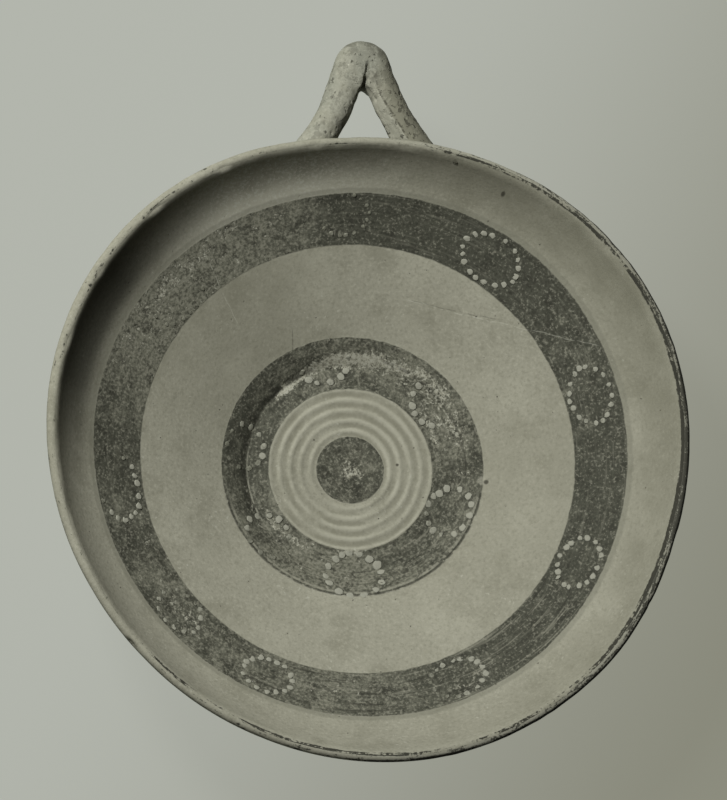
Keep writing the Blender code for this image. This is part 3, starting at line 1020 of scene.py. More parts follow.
    def crown(self) -> Value:
        """Makes the pinched crown, a round-edged disc with a V cut out below the crotch.

        Returns:
            Distance to the crown.
        """
        tree = self.tree
        top = add_node(tree, "ShaderNodeSeparateXYZ", {0: self.inputs["Top"]})
        crown_radius = self.inputs.value("Crown Radius")
        beyond = self.y - Value(tree, top.outputs[1]) + (crown_radius - self.CROWN_REACH)
        across = (self.x * self.x + beyond * beyond).math("SQRT")
        rounding = self.inputs.value("Crown Rounding")
        past = (across - (crown_radius - rounding)).math("MAXIMUM", 0.0)
        lifted = self.z - Value(tree, top.outputs[2]) - beyond * self.CROWN_TILT
        disc = (past * past + lifted * lifted).math("SQRT") - rounding
        slope = self.x.rise(-0.5, 0.5) * (self.RIGHT_SLOPE - self.LEFT_SLOPE) + self.LEFT_SLOPE
        notch = self.inputs.value("Crotch") - self.x.math("ABSOLUTE") * slope - self.y
        return disc.math("SMOOTH_MAX", notch * self.NOTCH_STEEPNESS, self.NOTCH_EDGE)

    def crease(self) -> Value:
        """Makes the slit and the small hole left where the two arms were pinched together.

        Returns:
            Depth of both.
        """
        slant = self.x - (self.y - self.SLIT_FOOT) * self.SLIT_LEAN
        line = slant.math("ABSOLUTE").rise(0.9, 0.2)
        ends = self.y.rise(self.SLIT_FOOT - 2.0, self.SLIT_FOOT) * self.y.rise(155.0, 151.5)
        hole_x, hole_y = self.HOLE
        hole = (self.x - hole_x).math("ABSOLUTE").rise(1.6, 0.3)
        hole = hole * (self.y - hole_y).math("ABSOLUTE").rise(1.4, 0.2)
        upper = self.z.rise(60.0, 63.0)
        return (line * ends * self.SLIT_DEPTH + hole * self.HOLE_DEPTH) * upper

    def wall(self) -> tuple[Value, Value]:
        """Finds the bowl's wall that the roots are smeared into.

        Returns:
            Distance to a layer inside the wall, and how far outside the wall's middle a place lies.
        """
        tree = self.tree
        axes = add_node(tree, "ShaderNodeSeparateXYZ", {0: self.place})
        x, y, z = (Value(tree, axes.outputs[i]) for i in range(3))
        pushed = z.rise(*self.PULLED) * self.inputs.value("Rim Push")
        radius = (x * x + y * y).math("SQRT") + pushed
        section_place = add_node(tree, "ShaderNodeCombineXYZ", {"X": radius, "Z": z})
        nearest = add_node(
            tree, "GeometryNodeProximity",
            {0: self.inputs["Wall Line"], "Sample Position": section_place}, target_element="EDGES")
        away = add_node(
            tree, VECTOR_MATH, {0: section_place, 1: nearest.outputs["Position"]}, operation="SUBTRACT")
        away_axes = add_node(tree, "ShaderNodeSeparateXYZ", {0: away})
        away_x, away_z = (Value(tree, away_axes.outputs[i]) for i in (0, 2))
        outside = (away_x - away_z) * math.sqrt(0.5)
        return Value(tree, nearest.outputs["Distance"]) - self.inputs.value("Wall Half"), outside

    def pits(self) -> Value:
        """Makes the small pits and dents in the clay.

        Returns:
            Depth of both.
        """
        (dent_length, dent_depth), (pit_length, pit_depth) = self.DENT, self.PIT
        dents = add_value(self.tree, "ShaderNodeTexNoise", {
            "Vector": self.place, "Scale": 1 / dent_length, "Detail": 2.0}, "Fac")
        holes = add_value(self.tree, "ShaderNodeTexNoise", {
            "Vector": self.place, "Scale": 1 / pit_length, "Detail": 0.0}, "Fac")
        return (dents - 0.5) * dent_depth + holes.rise(0.70, 0.80) * pit_depth

    def pull(self, name: str, bowl: BowlForm, form: HandleForm,
             clay: bpy.types.Material) -> bpy.types.Object:
        """Makes the handle.

        Args:
            name: Name of the piece.
            bowl: The bowl whose wall the roots grow from.
            form: The handle's sizes.
            clay: Material of the piece.

        Returns:
            The piece with its place in its mesh.
        """
        line = [bowl.wall_outside(share, 0.5) for share in np.linspace(0.5, 1.0, 24)]
        mesh = bpy.data.meshes.new(name)
        mesh.from_pydata([(radius, 0.0, height) for radius, height in line],
                         [(i, i + 1) for i in range(len(line) - 1)], [])
        piece = new_object(name, mesh)
        side = form.root[0] + self.BOX_SIDE
        low = (-side, self.BOX_Y[0], self.BOX_Z[0])
        high = (side, self.BOX_Y[1], self.BOX_Z[1])
        steps = [round((end - start) / form.grain) for start, end in zip(low, high)]
        self.inputs.apply(piece, {
            "Root": form.root, "Top": form.top, "Facet": form.facet(),
            "Root Radius": form.root_radius, "Arm Radius": form.arm_radius,
            "Right Swell": form.right_swell, "Bend": form.bend, "Lean": form.lean,
            "Facet Top Cut": form.facet_top_cut, "Facet Root Cut": form.facet_root_cut,
            "Crown Radius": form.crown_radius, "Crown Rounding": form.crown_rounding,
            "Crotch": form.crotch, "Smear": form.smear, "Smear Reach": form.smear_reach,
            "Wall Half": bowl.lip_thickness / 2 - form.wall_inset, "Rim Push": -float(rim_pull(90.0)),
            "Steps X": steps[0], "Steps Y": steps[1], "Steps Z": steps[2],
            "Low": tuple(v * MM for v in low), "High": tuple(v * MM for v in high), "Clay": clay})
        piece.data.transform(Matrix.Translation((0.0, self.axis_y, 0.0)))
        face_outwards(piece.data)
        return piece


class SlipTrailer:
    """Sets circles of raised white slip dots down on the bowl's inside."""

    SEED = 11
    # How far chance moves a dot along its circle and turns it on its spot, in radians, and how far it
    # moves it aside and outwards, in millimetres
    TURN_SPREAD = 0.07
    SPIN_SPREAD = 3.1
    PLACE_SPREAD = 0.35
    # Shares by which chance changes a dot's strength, size and length, and how far dots are drawn out
    STRENGTH_SPREAD = 0.10
    SIZE_SPREAD = 0.14
    LENGTH_SPREAD = 0.10
    LENGTHENED = 1.1
    # Strength at which a dot is gone, and the share of its size that wear leaves a faint one
    GONE = 0.22
    WORN_SIZE = 0.65
    # Thickness of a dot, and how far and over what length its edge wavers, in millimetres
    THICKNESS = 0.3
    WAVER = 1.3
    WAVER_LENGTH = 1.6
    # Height in metres from which the dots are set down
    HAND_HEIGHT = 0.2

    def __init__(self, axis_y: float) -> None:
        """Builds the geometry tree.

        Args:
            axis_y: Where the bowl's axis stands, in metres.
        """
        self.axis_y = axis_y
        self.tree = bpy.data.node_groups.new("slip_dots", "GeometryNodeTree")
        self.inputs = Inputs(self.tree, {
            "Circles": "NodeSocketGeometry",
            "Bowl": "NodeSocketObject",
            "Axis": "NodeSocketVector",
            "Thickness": "NodeSocketFloat",
            "Slip": "NodeSocketMaterial",
        })
        tree = self.tree
        count = add_node(tree, "GeometryNodeInputNamedAttribute", {"Name": "dots"}, data_type="INT")
        copies = add_node(
            tree, "GeometryNodeDuplicateElements",
            {"Geometry": self.inputs["Circles"], "Amount": count}, domain="POINT")
        number = Value(tree, copies.outputs["Duplicate Index"])
        turn = number / Value(tree, count.outputs[0]) * (2 * math.pi) + self.named("start")
        turn = turn + self.chance(self.TURN_SPREAD, 1)
        aside = turn.math("COSINE") * self.named("half_width") + self.chance(self.PLACE_SPREAD, 2)
        outward = turn.math("SINE") * self.named("half_height") + self.chance(self.PLACE_SPREAD, 3)
        middle = self.named("middle")
        azimuth = self.named("azimuth") - aside / middle
        radius = (middle + outward) * MM
        flat = add_node(tree, "ShaderNodeCombineXYZ", {
            "X": azimuth.math("COSINE") * radius, "Y": azimuth.math("SINE") * radius,
            "Z": self.HAND_HEIGHT})
        above = add_node(tree, VECTOR_MATH, {0: flat, 1: self.inputs["Axis"]}, operation="ADD")
        bowl = add_node(
            tree, "GeometryNodeObjectInfo", {0: self.inputs["Bowl"]}, transform_space="RELATIVE")
        down = add_node(tree, "GeometryNodeRaycast", {
            "Target Geometry": bowl.outputs["Geometry"], "Source Position": above,
            "Ray Direction": (0.0, 0.0, -1.0), "Ray Length": 1.0})
        set_down = add_node(tree, "GeometryNodeSetPosition", {
            "Geometry": copies.outputs["Geometry"], "Position": down.outputs["Hit Position"]})
        facing = (turn - self.named("worn_toward")).math("COSINE").rise(-0.5, 0.9)
        kept = facing * self.named("worn_share") * -1.0 + 1.0
        strength = self.named("strength") * kept + self.chance(self.STRENGTH_SPREAD, 4)
        marked = add_node(
            tree, "GeometryNodeStoreNamedAttribute",
            {"Geometry": set_down, "Name": "dot_strength", "Value": strength},
            data_type="FLOAT", domain="POINT")
        dome = add_node(tree, "GeometryNodeMeshUVSphere", {"Segments": 12, "Rings": 4, "Radius": 0.5})
        tilt = add_node(
            tree, "FunctionNodeAlignRotationToVector", {"Vector": down.outputs["Hit Normal"]}, axis="Z")
        spin = add_node(tree, "ShaderNodeCombineXYZ", {"Z": self.chance(self.SPIN_SPREAD, 5)})
        spun = add_node(tree, "FunctionNodeRotateRotation", {0: tilt, 1: spin}, rotation_space="LOCAL")
        worn_size = strength.rise(0.0, 0.9) * (1 - self.WORN_SIZE) + self.WORN_SIZE
        size = self.named("size") * worn_size * (self.chance(self.SIZE_SPREAD, 6) + 1.0) * MM
        length = size * (self.chance(self.LENGTH_SPREAD, 7) + self.LENGTHENED)
        scale = add_node(
            tree, "ShaderNodeCombineXYZ", {"X": length, "Y": size, "Z": self.inputs["Thickness"]})
        dots = add_node(tree, "GeometryNodeInstanceOnPoints", {
            "Points": marked, "Selection": strength.math("GREATER_THAN", self.GONE), "Instance": dome,
            "Rotation": spun, "Scale": scale})
        real = add_node(tree, "GeometryNodeRealizeInstances", {"Geometry": dots})
        here = add_node(tree, "GeometryNodeInputPosition")
        waver = add_node(tree, "ShaderNodeTexNoise", {
            "Vector": here, "Scale": 1 / (self.WAVER_LENGTH * MM), "Detail": 1.0})
        shift = add_node(tree, VECTOR_MATH, {0: waver.outputs["Color"], 1: (-0.5,) * 3}, operation="ADD")
        reach = (self.WAVER * MM, self.WAVER * MM, 0.0)
        scaled = add_node(tree, VECTOR_MATH, {0: shift, 1: reach}, operation="MULTIPLY")
        ragged = add_node(tree, "GeometryNodeSetPosition", {"Geometry": real, "Offset": scaled})
        end_tree(tree, ragged, self.inputs["Slip"])

    def named(self, name: str) -> Value:
        """A number stored on each circle."""
        return add_value(
            self.tree, "GeometryNodeInputNamedAttribute", {"Name": name}, data_type="FLOAT")

    def chance(self, spread: float, seed: int) -> Value:
        """Draws a random number for each dot, from -spread to spread.

        Args:
            spread: The largest number.
            seed: Shift that gives other numbers.

        Returns:
            The random number.
        """
        return add_value(
            self.tree, "FunctionNodeRandomValue", {2: -spread, 3: spread, "Seed": seed + self.SEED}, 1,
            data_type="FLOAT")

    def trail(self, name: str, circles: Sequence[DotCircle], bowl: bpy.types.Object,
              slip: bpy.types.Material) -> bpy.types.Object:
        """Makes all the dots of one band.

        Args:
            name: Name of the piece.
            circles: The band's circles.
            bowl: The bowl that they lie on.
            slip: Material of the dots.

        Returns:
            The dots as one piece.
        """
        mesh = bpy.data.meshes.new(name)
        mesh.from_pydata([(0.0, 0.0, 0.0)] * len(circles), [], [])
        counts = mesh.attributes.new("dots", "INT", "POINT")
        counts.data.foreach_set("value", [circle.dots for circle in circles])
        columns = {
            "start": [math.radians(circle.start) for circle in circles],
            "half_width": [circle.width / 2 for circle in circles],
            "half_height": [circle.height / 2 for circle in circles],
            "middle": [circle.radius for circle in circles],
            "azimuth": [math.radians(circle.azimuth) for circle in circles],
            "strength": [circle.strength for circle in circles],
            "worn_toward": [math.radians(circle.worn_toward) for circle in circles],
            "worn_share": [circle.worn_share for circle in circles],
            "size": [circle.size for circle in circles],
        }
        for column, values in columns.items():
            store(mesh, column, np.array(values))
        piece = new_object(name, mesh)
        self.inputs.apply(piece, {
            "Bowl": bowl, "Axis": (0.0, self.axis_y, 0.0), "Thickness": self.THICKNESS * MM,
            "Slip": slip})
        face_outwards(piece.data)
        return piece


# Materials

@dataclass(frozen=True)
class Tones:
    """Colours of the clay and its slips, as sRGB; the dark clay and deep slip colours are also laid as
    painted shade, and the clay colour as painted highlight.
    """

    clay: str = "#8C8B7B"
    pale_clay: str = "#A3A291"
    dark_clay_and_shade: str = "#6E6D5D"
    soil: str = "#3B3A30"
    slip: str = "#3C3D33"
    thin_slip: str = "#6A6A5C"
    deep_slip_and_shade: str = "#2C2C24"
    white_slip: str = "#ABAB9C"
    dot_slip: str = "#8F8F81"
    handle: str = "#797A6D"


@dataclass(frozen=True)
class PaintPlan:
    """Where the coats, the wear and the painted shade of the inside lie, as radii in millimetres."""

    disc_edge: tuple[float, float] = (13.9, 13.4)
    ridges: tuple[float, float] = (13.9, 32.6)
    ridge_pitch: float = 4.2
    inner_band: tuple[float, float] = (33.1, 52.6)
    wear_ring: tuple[float, float] = (41.2, 42.6)
    floor_painted_shade: tuple[float, float] = (50.0, 88.0)
    broad_band: tuple[float, float] = (86.5, 104.7)
    # Between these radii the broad band's outer edge starts to follow its uneven place
    band_shift: tuple[float, float] = (95.0, 101.0)
    fringe: tuple[float, float] = (104.7, 106.6)
    wall_painted_shade: tuple[float, float] = (102.0, 114.0)
    pale_scuffs: tuple[float, float] = (103.0, 112.0)
    white_scuffs: tuple[float, float] = (103.0, 120.5)
    lip_shadow_start: tuple[float, float] = (103.0, 113.0)
    lip_shadow_end: tuple[float, float] = (121.6, 120.0)
    lip_line: tuple[float, float] = (121.2, 122.5)
    lip_crest: tuple[float, float] = (122.2, 122.7)


TONES = Tones()
PLAN = PaintPlan()


class Coats:
    """A clay surface laid up coat by coat, read in millimetres from the bowl's axis."""

    # Fired earthenware: an even, weak sheen from its pores
    IOR = 1.45
    SHEEN = 0.25
    # Distance from the axis at which turned noise has its stated stretch
    TURNED_AT = 80.0
    # Degrees on each side of an arc's end over which it fades
    ARC_FADE = 8.0

    def __init__(self, name: str, axis_y: float, body: str, roughness: float) -> None:
        """Starts from the bare body.

        Args:
            name: Name of the material.
            axis_y: Where the bowl's axis stands, in metres.
            body: Colour of the bare body.
            roughness: How matt the surface is.
        """
        self.material = bpy.data.materials.new(name)
        self.material.use_nodes = True
        self.tree = self.material.node_tree
        self.tree.nodes.clear()
        self.roughness = roughness
        texture = add_node(self.tree, "ShaderNodeTexCoord")
        self.place = add_node(self.tree, "ShaderNodeMapping", {
            "Vector": texture.outputs["Object"], "Location": (0.0, -axis_y / MM, 0.0),
            "Scale": (1 / MM,) * 3})
        axes = add_node(self.tree, "ShaderNodeSeparateXYZ", {0: self.place})
        self.x, self.y, self.z = (Value(self.tree, axes.outputs[i]) for i in range(3))
        self.radius = (self.x * self.x + self.y * self.y).math("SQRT").math("MAXIMUM", 0.5)
        self.colour = linear(body)
        self.height = None

    def attribute(self, name: str) -> Value:
        """A number stored on the mesh."""
        return add_value(self.tree, "ShaderNodeAttribute", None, "Fac", attribute_name=name)

    def cloud(self, size: float, seed: float, detail: float = 3.0, roughness: float = 0.55) -> Value:
        """Noise from 0 to 1, the same in every direction.

        Args:
            size: Length of its swells in millimetres.
            seed: Shift that gives another noise.
            detail: How many finer noises lie on the swells.
            roughness: How strong the finer noises are.

        Returns:
            The noise.
        """
        return add_value(self.tree, "ShaderNodeTexNoise", {
            "Vector": self.place, "W": seed, "Scale": 1 / size, "Detail": detail,
            "Roughness": roughness}, "Fac", noise_dimensions="4D")

    def turned(self, size: float, stretch: float, seed: float, detail: float = 2.0) -> Value:
        """Noise from 0 to 1, drawn out along the wheel's turn.

        Args:
            size: Length of its swells across the turn, in millimetres.
            stretch: How many times as long they are along the turn, at TURNED_AT from the axis.
            seed: Shift that gives another noise.
            detail: How many finer noises lie on the swells.

        Returns:
            The noise.
        """
        around = self.TURNED_AT / stretch
        vector = add_node(self.tree, "ShaderNodeCombineXYZ", {
            "X": self.x / self.radius * around, "Y": self.y / self.radius * around,
            "Z": self.radius + self.z * 0.5})
        return add_value(self.tree, "ShaderNodeTexNoise", {
            "Vector": vector, "W": seed, "Scale": 1 / size, "Detail": detail},
            "Fac", noise_dimensions="4D")

    def lay(self, colour: str, cover: Value) -> None:
        """Lays a colour over what is there.

        Args:
            colour: The colour as sRGB.
            cover: How far it hides what is there, from 0 to 1.
        """
        mix = add_node(
            self.tree, "ShaderNodeMix", {0: cover, 6: self.colour, 7: linear(colour)}, data_type="RGBA")
        self.colour = mix.outputs[2]

    def raise_by(self, height: Value) -> None:
        """Adds to the fine relief, in millimetres."""
        self.height = height if self.height is None else self.height + height

    def left(self, strength: Value, noise: Value) -> Value:
        """Where a coat is left: all of it at a strength of 1, none at 0, and broken by noise between."""
        return (strength * 0.37 + noise).rise(0.65, 0.72)

    def near(self, spot: Spot) -> Value:
        """1 at a spot of the inside, falling to 0 at its size.

        Args:
            spot: Where it lies and how large it is.

        Returns:
            The nearness.
        """
        angle = math.radians(spot.azimuth)
        across = self.x - spot.radius * math.cos(angle)
        along = self.y - spot.radius * math.sin(angle)
        return (across * across + along * along).math("SQRT").rise(spot.size, spot.size * 0.4)

    def arc(self, azimuth: float, half_turn: float) -> Value:
        """1 within so many degrees of an azimuth, fading to 0 round its ends.

        Args:
            azimuth: Middle of the arc in degrees.
            half_turn: Half of its turn in degrees.

        Returns:
            The share of the arc.
        """
        turn = math.radians(azimuth)
        along = (self.x * math.cos(turn) + self.y * math.sin(turn)) / self.radius
        ends = (half_turn + self.ARC_FADE, half_turn - self.ARC_FADE)
        return along.rise(*(math.cos(math.radians(end)) for end in ends))

    def line(self, scratch: Scratch) -> Value:
        """1 along a scratch and 0 away from it.

        Args:
            scratch: Its ends and its width.

        Returns:
            The broken, wavering line.
        """
        start, end = scratch.ends()
        way = end - start
        turn = math.atan2(way.y, way.x)
        own = add_node(self.tree, "ShaderNodeMapping", {
            "Vector": self.place, "Location": start, "Rotation": (0.0, 0.0, turn)},
            vector_type="TEXTURE")
        axes = add_node(self.tree, "ShaderNodeSeparateXYZ", {0: own})
        along, across = (Value(self.tree, axes.outputs[i]) for i in range(2))
        waver = (self.cloud(8.0, way.length, 2.0) - 0.5) * 2.0
        near = (across + waver).math("ABSOLUTE").rise(scratch.width * 2, scratch.width * 0.4)
        broken = self.cloud(2.2, way.length + 1.0, 1.0).rise(0.35, 0.55)
        return near * along.between(0.0, way.length, 1.0) * broken

    def finish(self) -> bpy.types.Material:
        """Feeds the shader with the coats and their relief.

        Returns:
            The finished material.
        """
        shader = add_node(self.tree, "ShaderNodeBsdfPrincipled", {
            "Base Color": self.colour, "Roughness": self.roughness, "IOR": self.IOR,
            "Specular IOR Level": self.SHEEN})
        if self.height is not None:
            relief = add_node(self.tree, "ShaderNodeBump", {"Height": self.height, "Distance": MM})
            self.tree.links.new(relief.outputs[0], shader.inputs["Normal"])
        add_node(self.tree, "ShaderNodeOutputMaterial", {0: shader})
        return self.material


class ClayFinish:
    """The bare fired clay: cloudy, finely grained, with turning lines, pits and soil in the pores."""

    # Low-fired clay scatters light evenly; slip on it is as matt, and the dots' chalky slip more so
    CLAY_ROUGHNESS = 0.86
    CHALK_ROUGHNESS = 0.88

    def __init__(self, axis_y: float) -> None:
        """Keeps where the bowl's axis stands, in metres."""
        self.axis_y = axis_y

    def bare(self, name: str, body: str, seed: float, turning: float) -> Coats:
        """The bare clay before any paint.

        Args:
            name: Name of the material.
            body: Colour of the body.
            seed: Shift that gives another surface.
            turning: Strength of the turning lines.

        Returns:
            Coats that further paint can be laid on.
        """
        # Sandy clay, fired buff: it looks dry and grainy, clouded pale and dark by the fire, with soil in
        # its pores from long burial
        coats = Coats(name, self.axis_y, body, self.CLAY_ROUGHNESS)
        coats.lay(TONES.pale_clay, coats.cloud(26.0, seed, 4.0).rise(0.45, 0.70) * 0.50)
        coats.lay(TONES.dark_clay_and_shade, coats.cloud(13.0, seed + 1, 4.0).rise(0.46, 0.70) * 0.50)
        grain = coats.cloud(1.3, seed + 2, 3.0, 0.7)
        coats.lay(TONES.dark_clay_and_shade, grain.rise(0.50, 0.66) * 0.40)
        coats.lay(TONES.pale_clay, grain.rise(0.48, 0.32) * 0.40)
        lines = coats.turned(1.3, 40.0, seed + 3)
        coats.lay(TONES.dark_clay_and_shade, lines.rise(0.55, 0.75) * (0.3 * turning))
        specks = coats.cloud(1.2, seed + 4, 0.0).rise(0.82, 0.87)
        coats.lay(TONES.soil, specks * 0.75)
        flecks = coats.cloud(1.5, seed + 5, 2.0).rise(0.62, 0.70)
        crusted = coats.cloud(17.0, seed + 6, 3.0).rise(0.50, 0.62)
        coats.lay(TONES.white_slip, flecks * crusted * 0.55)
        coats.raise_by(grain * 0.10)
        coats.raise_by(lines * (0.12 * turning))
        coats.raise_by(specks * -0.15)
        return coats

    def plain(self, name: str, body: str, seed: float) -> bpy.types.Material:
        """Bare clay with no paint."""
        return self.bare(name, body, seed, 0.6).finish()

    def handle(self, name: str) -> bpy.types.Material:
        """The handle's paler, hand-worked clay with soil in its pits, darker towards the right with dirt
        and painted shade.

        Args:
            name: Name of the material.

        Returns:
            The finished material.
        """
        # Clay rolled and pared by hand: a smooth flat that catches the light, and pits that look black
        coats = self.bare(name, TONES.handle, 31.0, 0.0)
        pared = coats.attribute("pared")
        flat = pared.rise(0.75, 0.95) * coats.x.rise(0.0, 3.0)
        rightward = coats.x.rise(2.0, 12.0) * (flat * -0.9 + 1.0)
        soil = (coats.cloud(4.5, 37.0, 4.0, 0.7) + rightward * 0.08).rise(0.50, 0.60)
        coats.lay(TONES.soil, soil * 0.34)
        # Darker towards the right, away from the light: partly dirt, partly painted shade; the pared flat
        # is mostly spared
        coats.lay(TONES.dark_clay_and_shade, rightward * 0.85)
        # The pared flat is painted paler: partly its smoothed clay, partly a painted highlight
        coats.lay(TONES.pale_clay, flat * 0.25)
        blotches = coats.cloud(2.6, 40.0, 3.0, 0.65).rise(0.46, 0.56)
        for spot in HANDLE_BLOTCHES:
            coats.lay(TONES.soil, coats.near(spot) * blotches * 0.5)
        pits = (coats.cloud(2.2, 38.0, 3.0, 0.65) + rightward * 0.05).rise(0.62, 0.68)
        edge = pared.between(0.35, 0.80, 0.15) * coats.x.rise(3.0, 6.0)
        pits = pits.math("MAXIMUM", edge * coats.cloud(2.4, 39.0, 3.0).rise(0.44, 0.54))
        coats.lay(TONES.soil, pits * 0.75)
        coats.raise_by(soil * -0.12)
        coats.raise_by(pits * -0.2)
        return coats.finish()

    def painted(self, name: str) -> bpy.types.Material:
        """The bowl's clay with its dark slip: disc, inner band, broad band and lip.

        Args:
            name: Name of the material.

        Returns:
            The finished material.
        """
        # Iron slip brushed on the turning bowl: dark and matt, streaked along the turn, rubbed through
        # to the pale clay where hands and other bowls touched it
        coats = self.bare(name, TONES.clay, 3.0, 0.25)
        coats.radius = coats.attribute("thrown_radius")
        lip_turn = coats.attribute("lip_turn")
        inside = lip_turn.rise(0.2, -0.2)
        self.ridges(coats, inside)
        self.wear_ring(coats)
        self.under_the_lip(coats, inside)
        self.painted_shade_film(coats, inside)
        radius = coats.radius + (coats.cloud(3.5, 8.0, 3.0) - 0.5) * 0.9
        disc = radius.rise(*PLAN.disc_edge)
        inner = radius.between(*PLAN.inner_band, 0.25)
        radius = radius - coats.attribute("broad_band_shift") * coats.radius.rise(*PLAN.band_shift)
        outer = radius.between(*PLAN.broad_band, 0.3)
        bands = (disc + inner + outer) * inside
        fringe = radius.between(*PLAN.fringe, 0.5) * inside
        coats.lay(TONES.thin_slip, fringe * 0.45)
        worn = self.worn(coats)
        cover = bands * (worn * -1.0 + 1.0)
        crust = coats.cloud(1.1, 16.0, 3.0, 0.7)
        bare = bands * worn
        coats.lay(TONES.white_slip, bare * crust.rise(0.44, 0.58) * 0.6)
        coats.lay(TONES.deep_slip_and_shade, bare * crust.rise(0.46, 0.38) * 0.5)
        self.slip(coats, cover)
        self.lip(coats, lip_turn)
        self.marks(coats, inside)
        coats.raise_by(cover * 0.05)
        return coats.finish()

    def ridges(self, coats: Coats, inside: Value) -> None:
        """Colours the finger ridges round the disc: rubbed pale on their crests, soil left between them.

        Args:
            coats: The bowl's coats.
            inside: 1 on the inside and 0 on the outside.
        """
        start, end = PLAN.ridges
        there = coats.radius.between(start, end, 0.3) * inside
        wandering = coats.radius + (coats.cloud(9.0, 32.0, 2.0) - 0.5) * 1.6
        crest = ((wandering - start) * (2 * math.pi / PLAN.ridge_pitch)).math("COSINE") * -0.5 + 0.5
        uneven = coats.cloud(14.0, 33.0, 3.0).rise(0.3, 0.6)
        coats.lay(TONES.dark_clay_and_shade, there * 0.12)
        coats.lay(TONES.pale_clay, crest.rise(0.4, 1.0) * there * uneven * 0.55)
        coats.lay(TONES.dark_clay_and_shade, crest.rise(0.60, 0.0) * there * uneven * 0.60)

    def under_the_lip(self, coats: Coats, inside: Value) -> None:
        """Lays pale scuffs on one side under the lip and, beside them, a painted shadow on the wall under
        the lip.

        Args:
            coats: The bowl's coats.
            inside: 1 on the inside and 0 on the outside.
        """
        scuffs = coats.attribute("pale_scuffs") * inside
        coats.lay(TONES.pale_clay, scuffs * coats.radius.between(*PLAN.pale_scuffs, 3.0) * 0.6)
        broken = coats.cloud(1.3, 34.0, 3.0, 0.7).rise(0.50, 0.60)
        crusted = scuffs * coats.radius.between(*PLAN.white_scuffs, 2.0)
        coats.lay(TONES.white_slip, crusted * (broken * 0.55 + 0.18))
        # Painted shadow: deep slip colour on the wall just under the lip, on the side away from the light
        lip_shadowed = coats.attribute("lip_painted_shadow") * coats.radius.rise(*PLAN.lip_shadow_start)
        coats.lay(TONES.deep_slip_and_shade, lip_shadowed * coats.radius.rise(*PLAN.lip_shadow_end) * inside * 0.84)

    def painted_shade_film(self, coats: Coats, inside: Value) -> None:
        """Lays painted shade as an uneven film that dulls the clay more on one side than on the other.

        Args:
            coats: The bowl's coats.
            inside: 1 on the inside and 0 on the outside.
        """
        floor = coats.attribute("floor_painted_shade") * coats.radius.between(*PLAN.floor_painted_shade, 2.0)
        wall = coats.attribute("wall_painted_shade") * coats.radius.rise(*PLAN.wall_painted_shade)
        uneven = coats.cloud(18.0, 35.0, 4.0).rise(0.3, 0.7) * 0.8 + 0.6
        # Painted shade: dark clay colour laid by azimuth on the clay floor between the bands and on the
        # wall below the lip
        coats.lay(TONES.dark_clay_and_shade, (floor + wall) * uneven * inside)

    def wear_ring(self, coats: Coats) -> None:
        """Lays the pale ring where the foot of another bowl stood."""
        pale = coats.radius.between(*PLAN.wear_ring, 0.5) * coats.cloud(7.0, 12.0).rise(0.35, 0.6)
        coats.lay(TONES.pale_clay, pale * 0.5)

    def worn(self, coats: Coats) -> Value:
        """Finds where the slip is gone: worn patches broken up by speckle and by curling flakes.

        Args:
            coats: The bowl's coats.

        Returns:
            1 where the slip is gone and 0 where it is whole.
        """
        fine = coats.cloud(1.3, 21.0, 3.0, 0.7)
        middle = coats.cloud(4.5, 22.0, 4.0, 0.65)
        curls = (coats.cloud(2.6, 29.0, 2.0) - 0.5).math("ABSOLUTE").rise(0.05, 0.0)
        thin = coats.attribute("slip_thinness")
        broken = fine * 0.6 + middle * 0.4 + coats.attribute("wear") * 0.42
        return (broken + thin * 0.07 + curls * thin * 0.06).rise(0.62, 0.72)

    def slip(self, coats: Coats, cover: Value) -> None:
        """Lays the dark slip: thin and thick clouds, pale speckle and streaks along the turn.

        Args:
            coats: The bowl's coats.
            cover: 1 where the slip is whole.
        """
        coats.lay(TONES.slip, cover * 0.96)
        thinness = coats.attribute("slip_thinness")
        thin = (coats.cloud(8.0, 23.0, 5.0, 0.65) + thinness * 0.25).rise(0.48, 0.78)
        coats.lay(TONES.thin_slip, cover * thin * 0.85)
        deep = coats.cloud(4.5, 24.0, 4.0, 0.65).rise(0.50, 0.64)
        coats.lay(TONES.deep_slip_and_shade, cover * deep * 0.60)
        speckle = coats.cloud(1.1, 25.0, 3.0, 0.7)
        coats.lay(TONES.clay, cover * (speckle + thinness * 0.05).rise(0.52, 0.64) * 0.48)
        coats.lay(TONES.deep_slip_and_shade, cover * speckle.rise(0.47, 0.36) * 0.65)
        streaks = coats.turned(1.2, 13.0, 26.0, 3.0)
        combed = coats.arc(285.0, 42.0) * 0.38 + 0.28
        coats.lay(TONES.clay, cover * streaks.rise(0.54, 0.72) * combed * 0.7)
        coats.lay(TONES.deep_slip_and_shade, cover * streaks.rise(0.45, 0.30) * combed)

    def lip(self, coats: Coats, lip_turn: Value) -> None:
        """Lays slip on the lip: a line on its outer edge, speckle on its crest and a line inside it.

        Args:
            coats: The bowl's coats.
            lip_turn: How far round the lip a place lies, from -1 inside to 1 outside.
        """
        dashes = (coats.turned(0.9, 7.0, 42.0, 3.0) - 0.5) * 0.75
        broken = (coats.cloud(1.6, 27.0, 4.0, 0.7) - 0.5) * 0.75 + dashes + 0.5
        across = coats.radius - coats.attribute("lip_line_shift") + (broken - 0.5) * 1.2
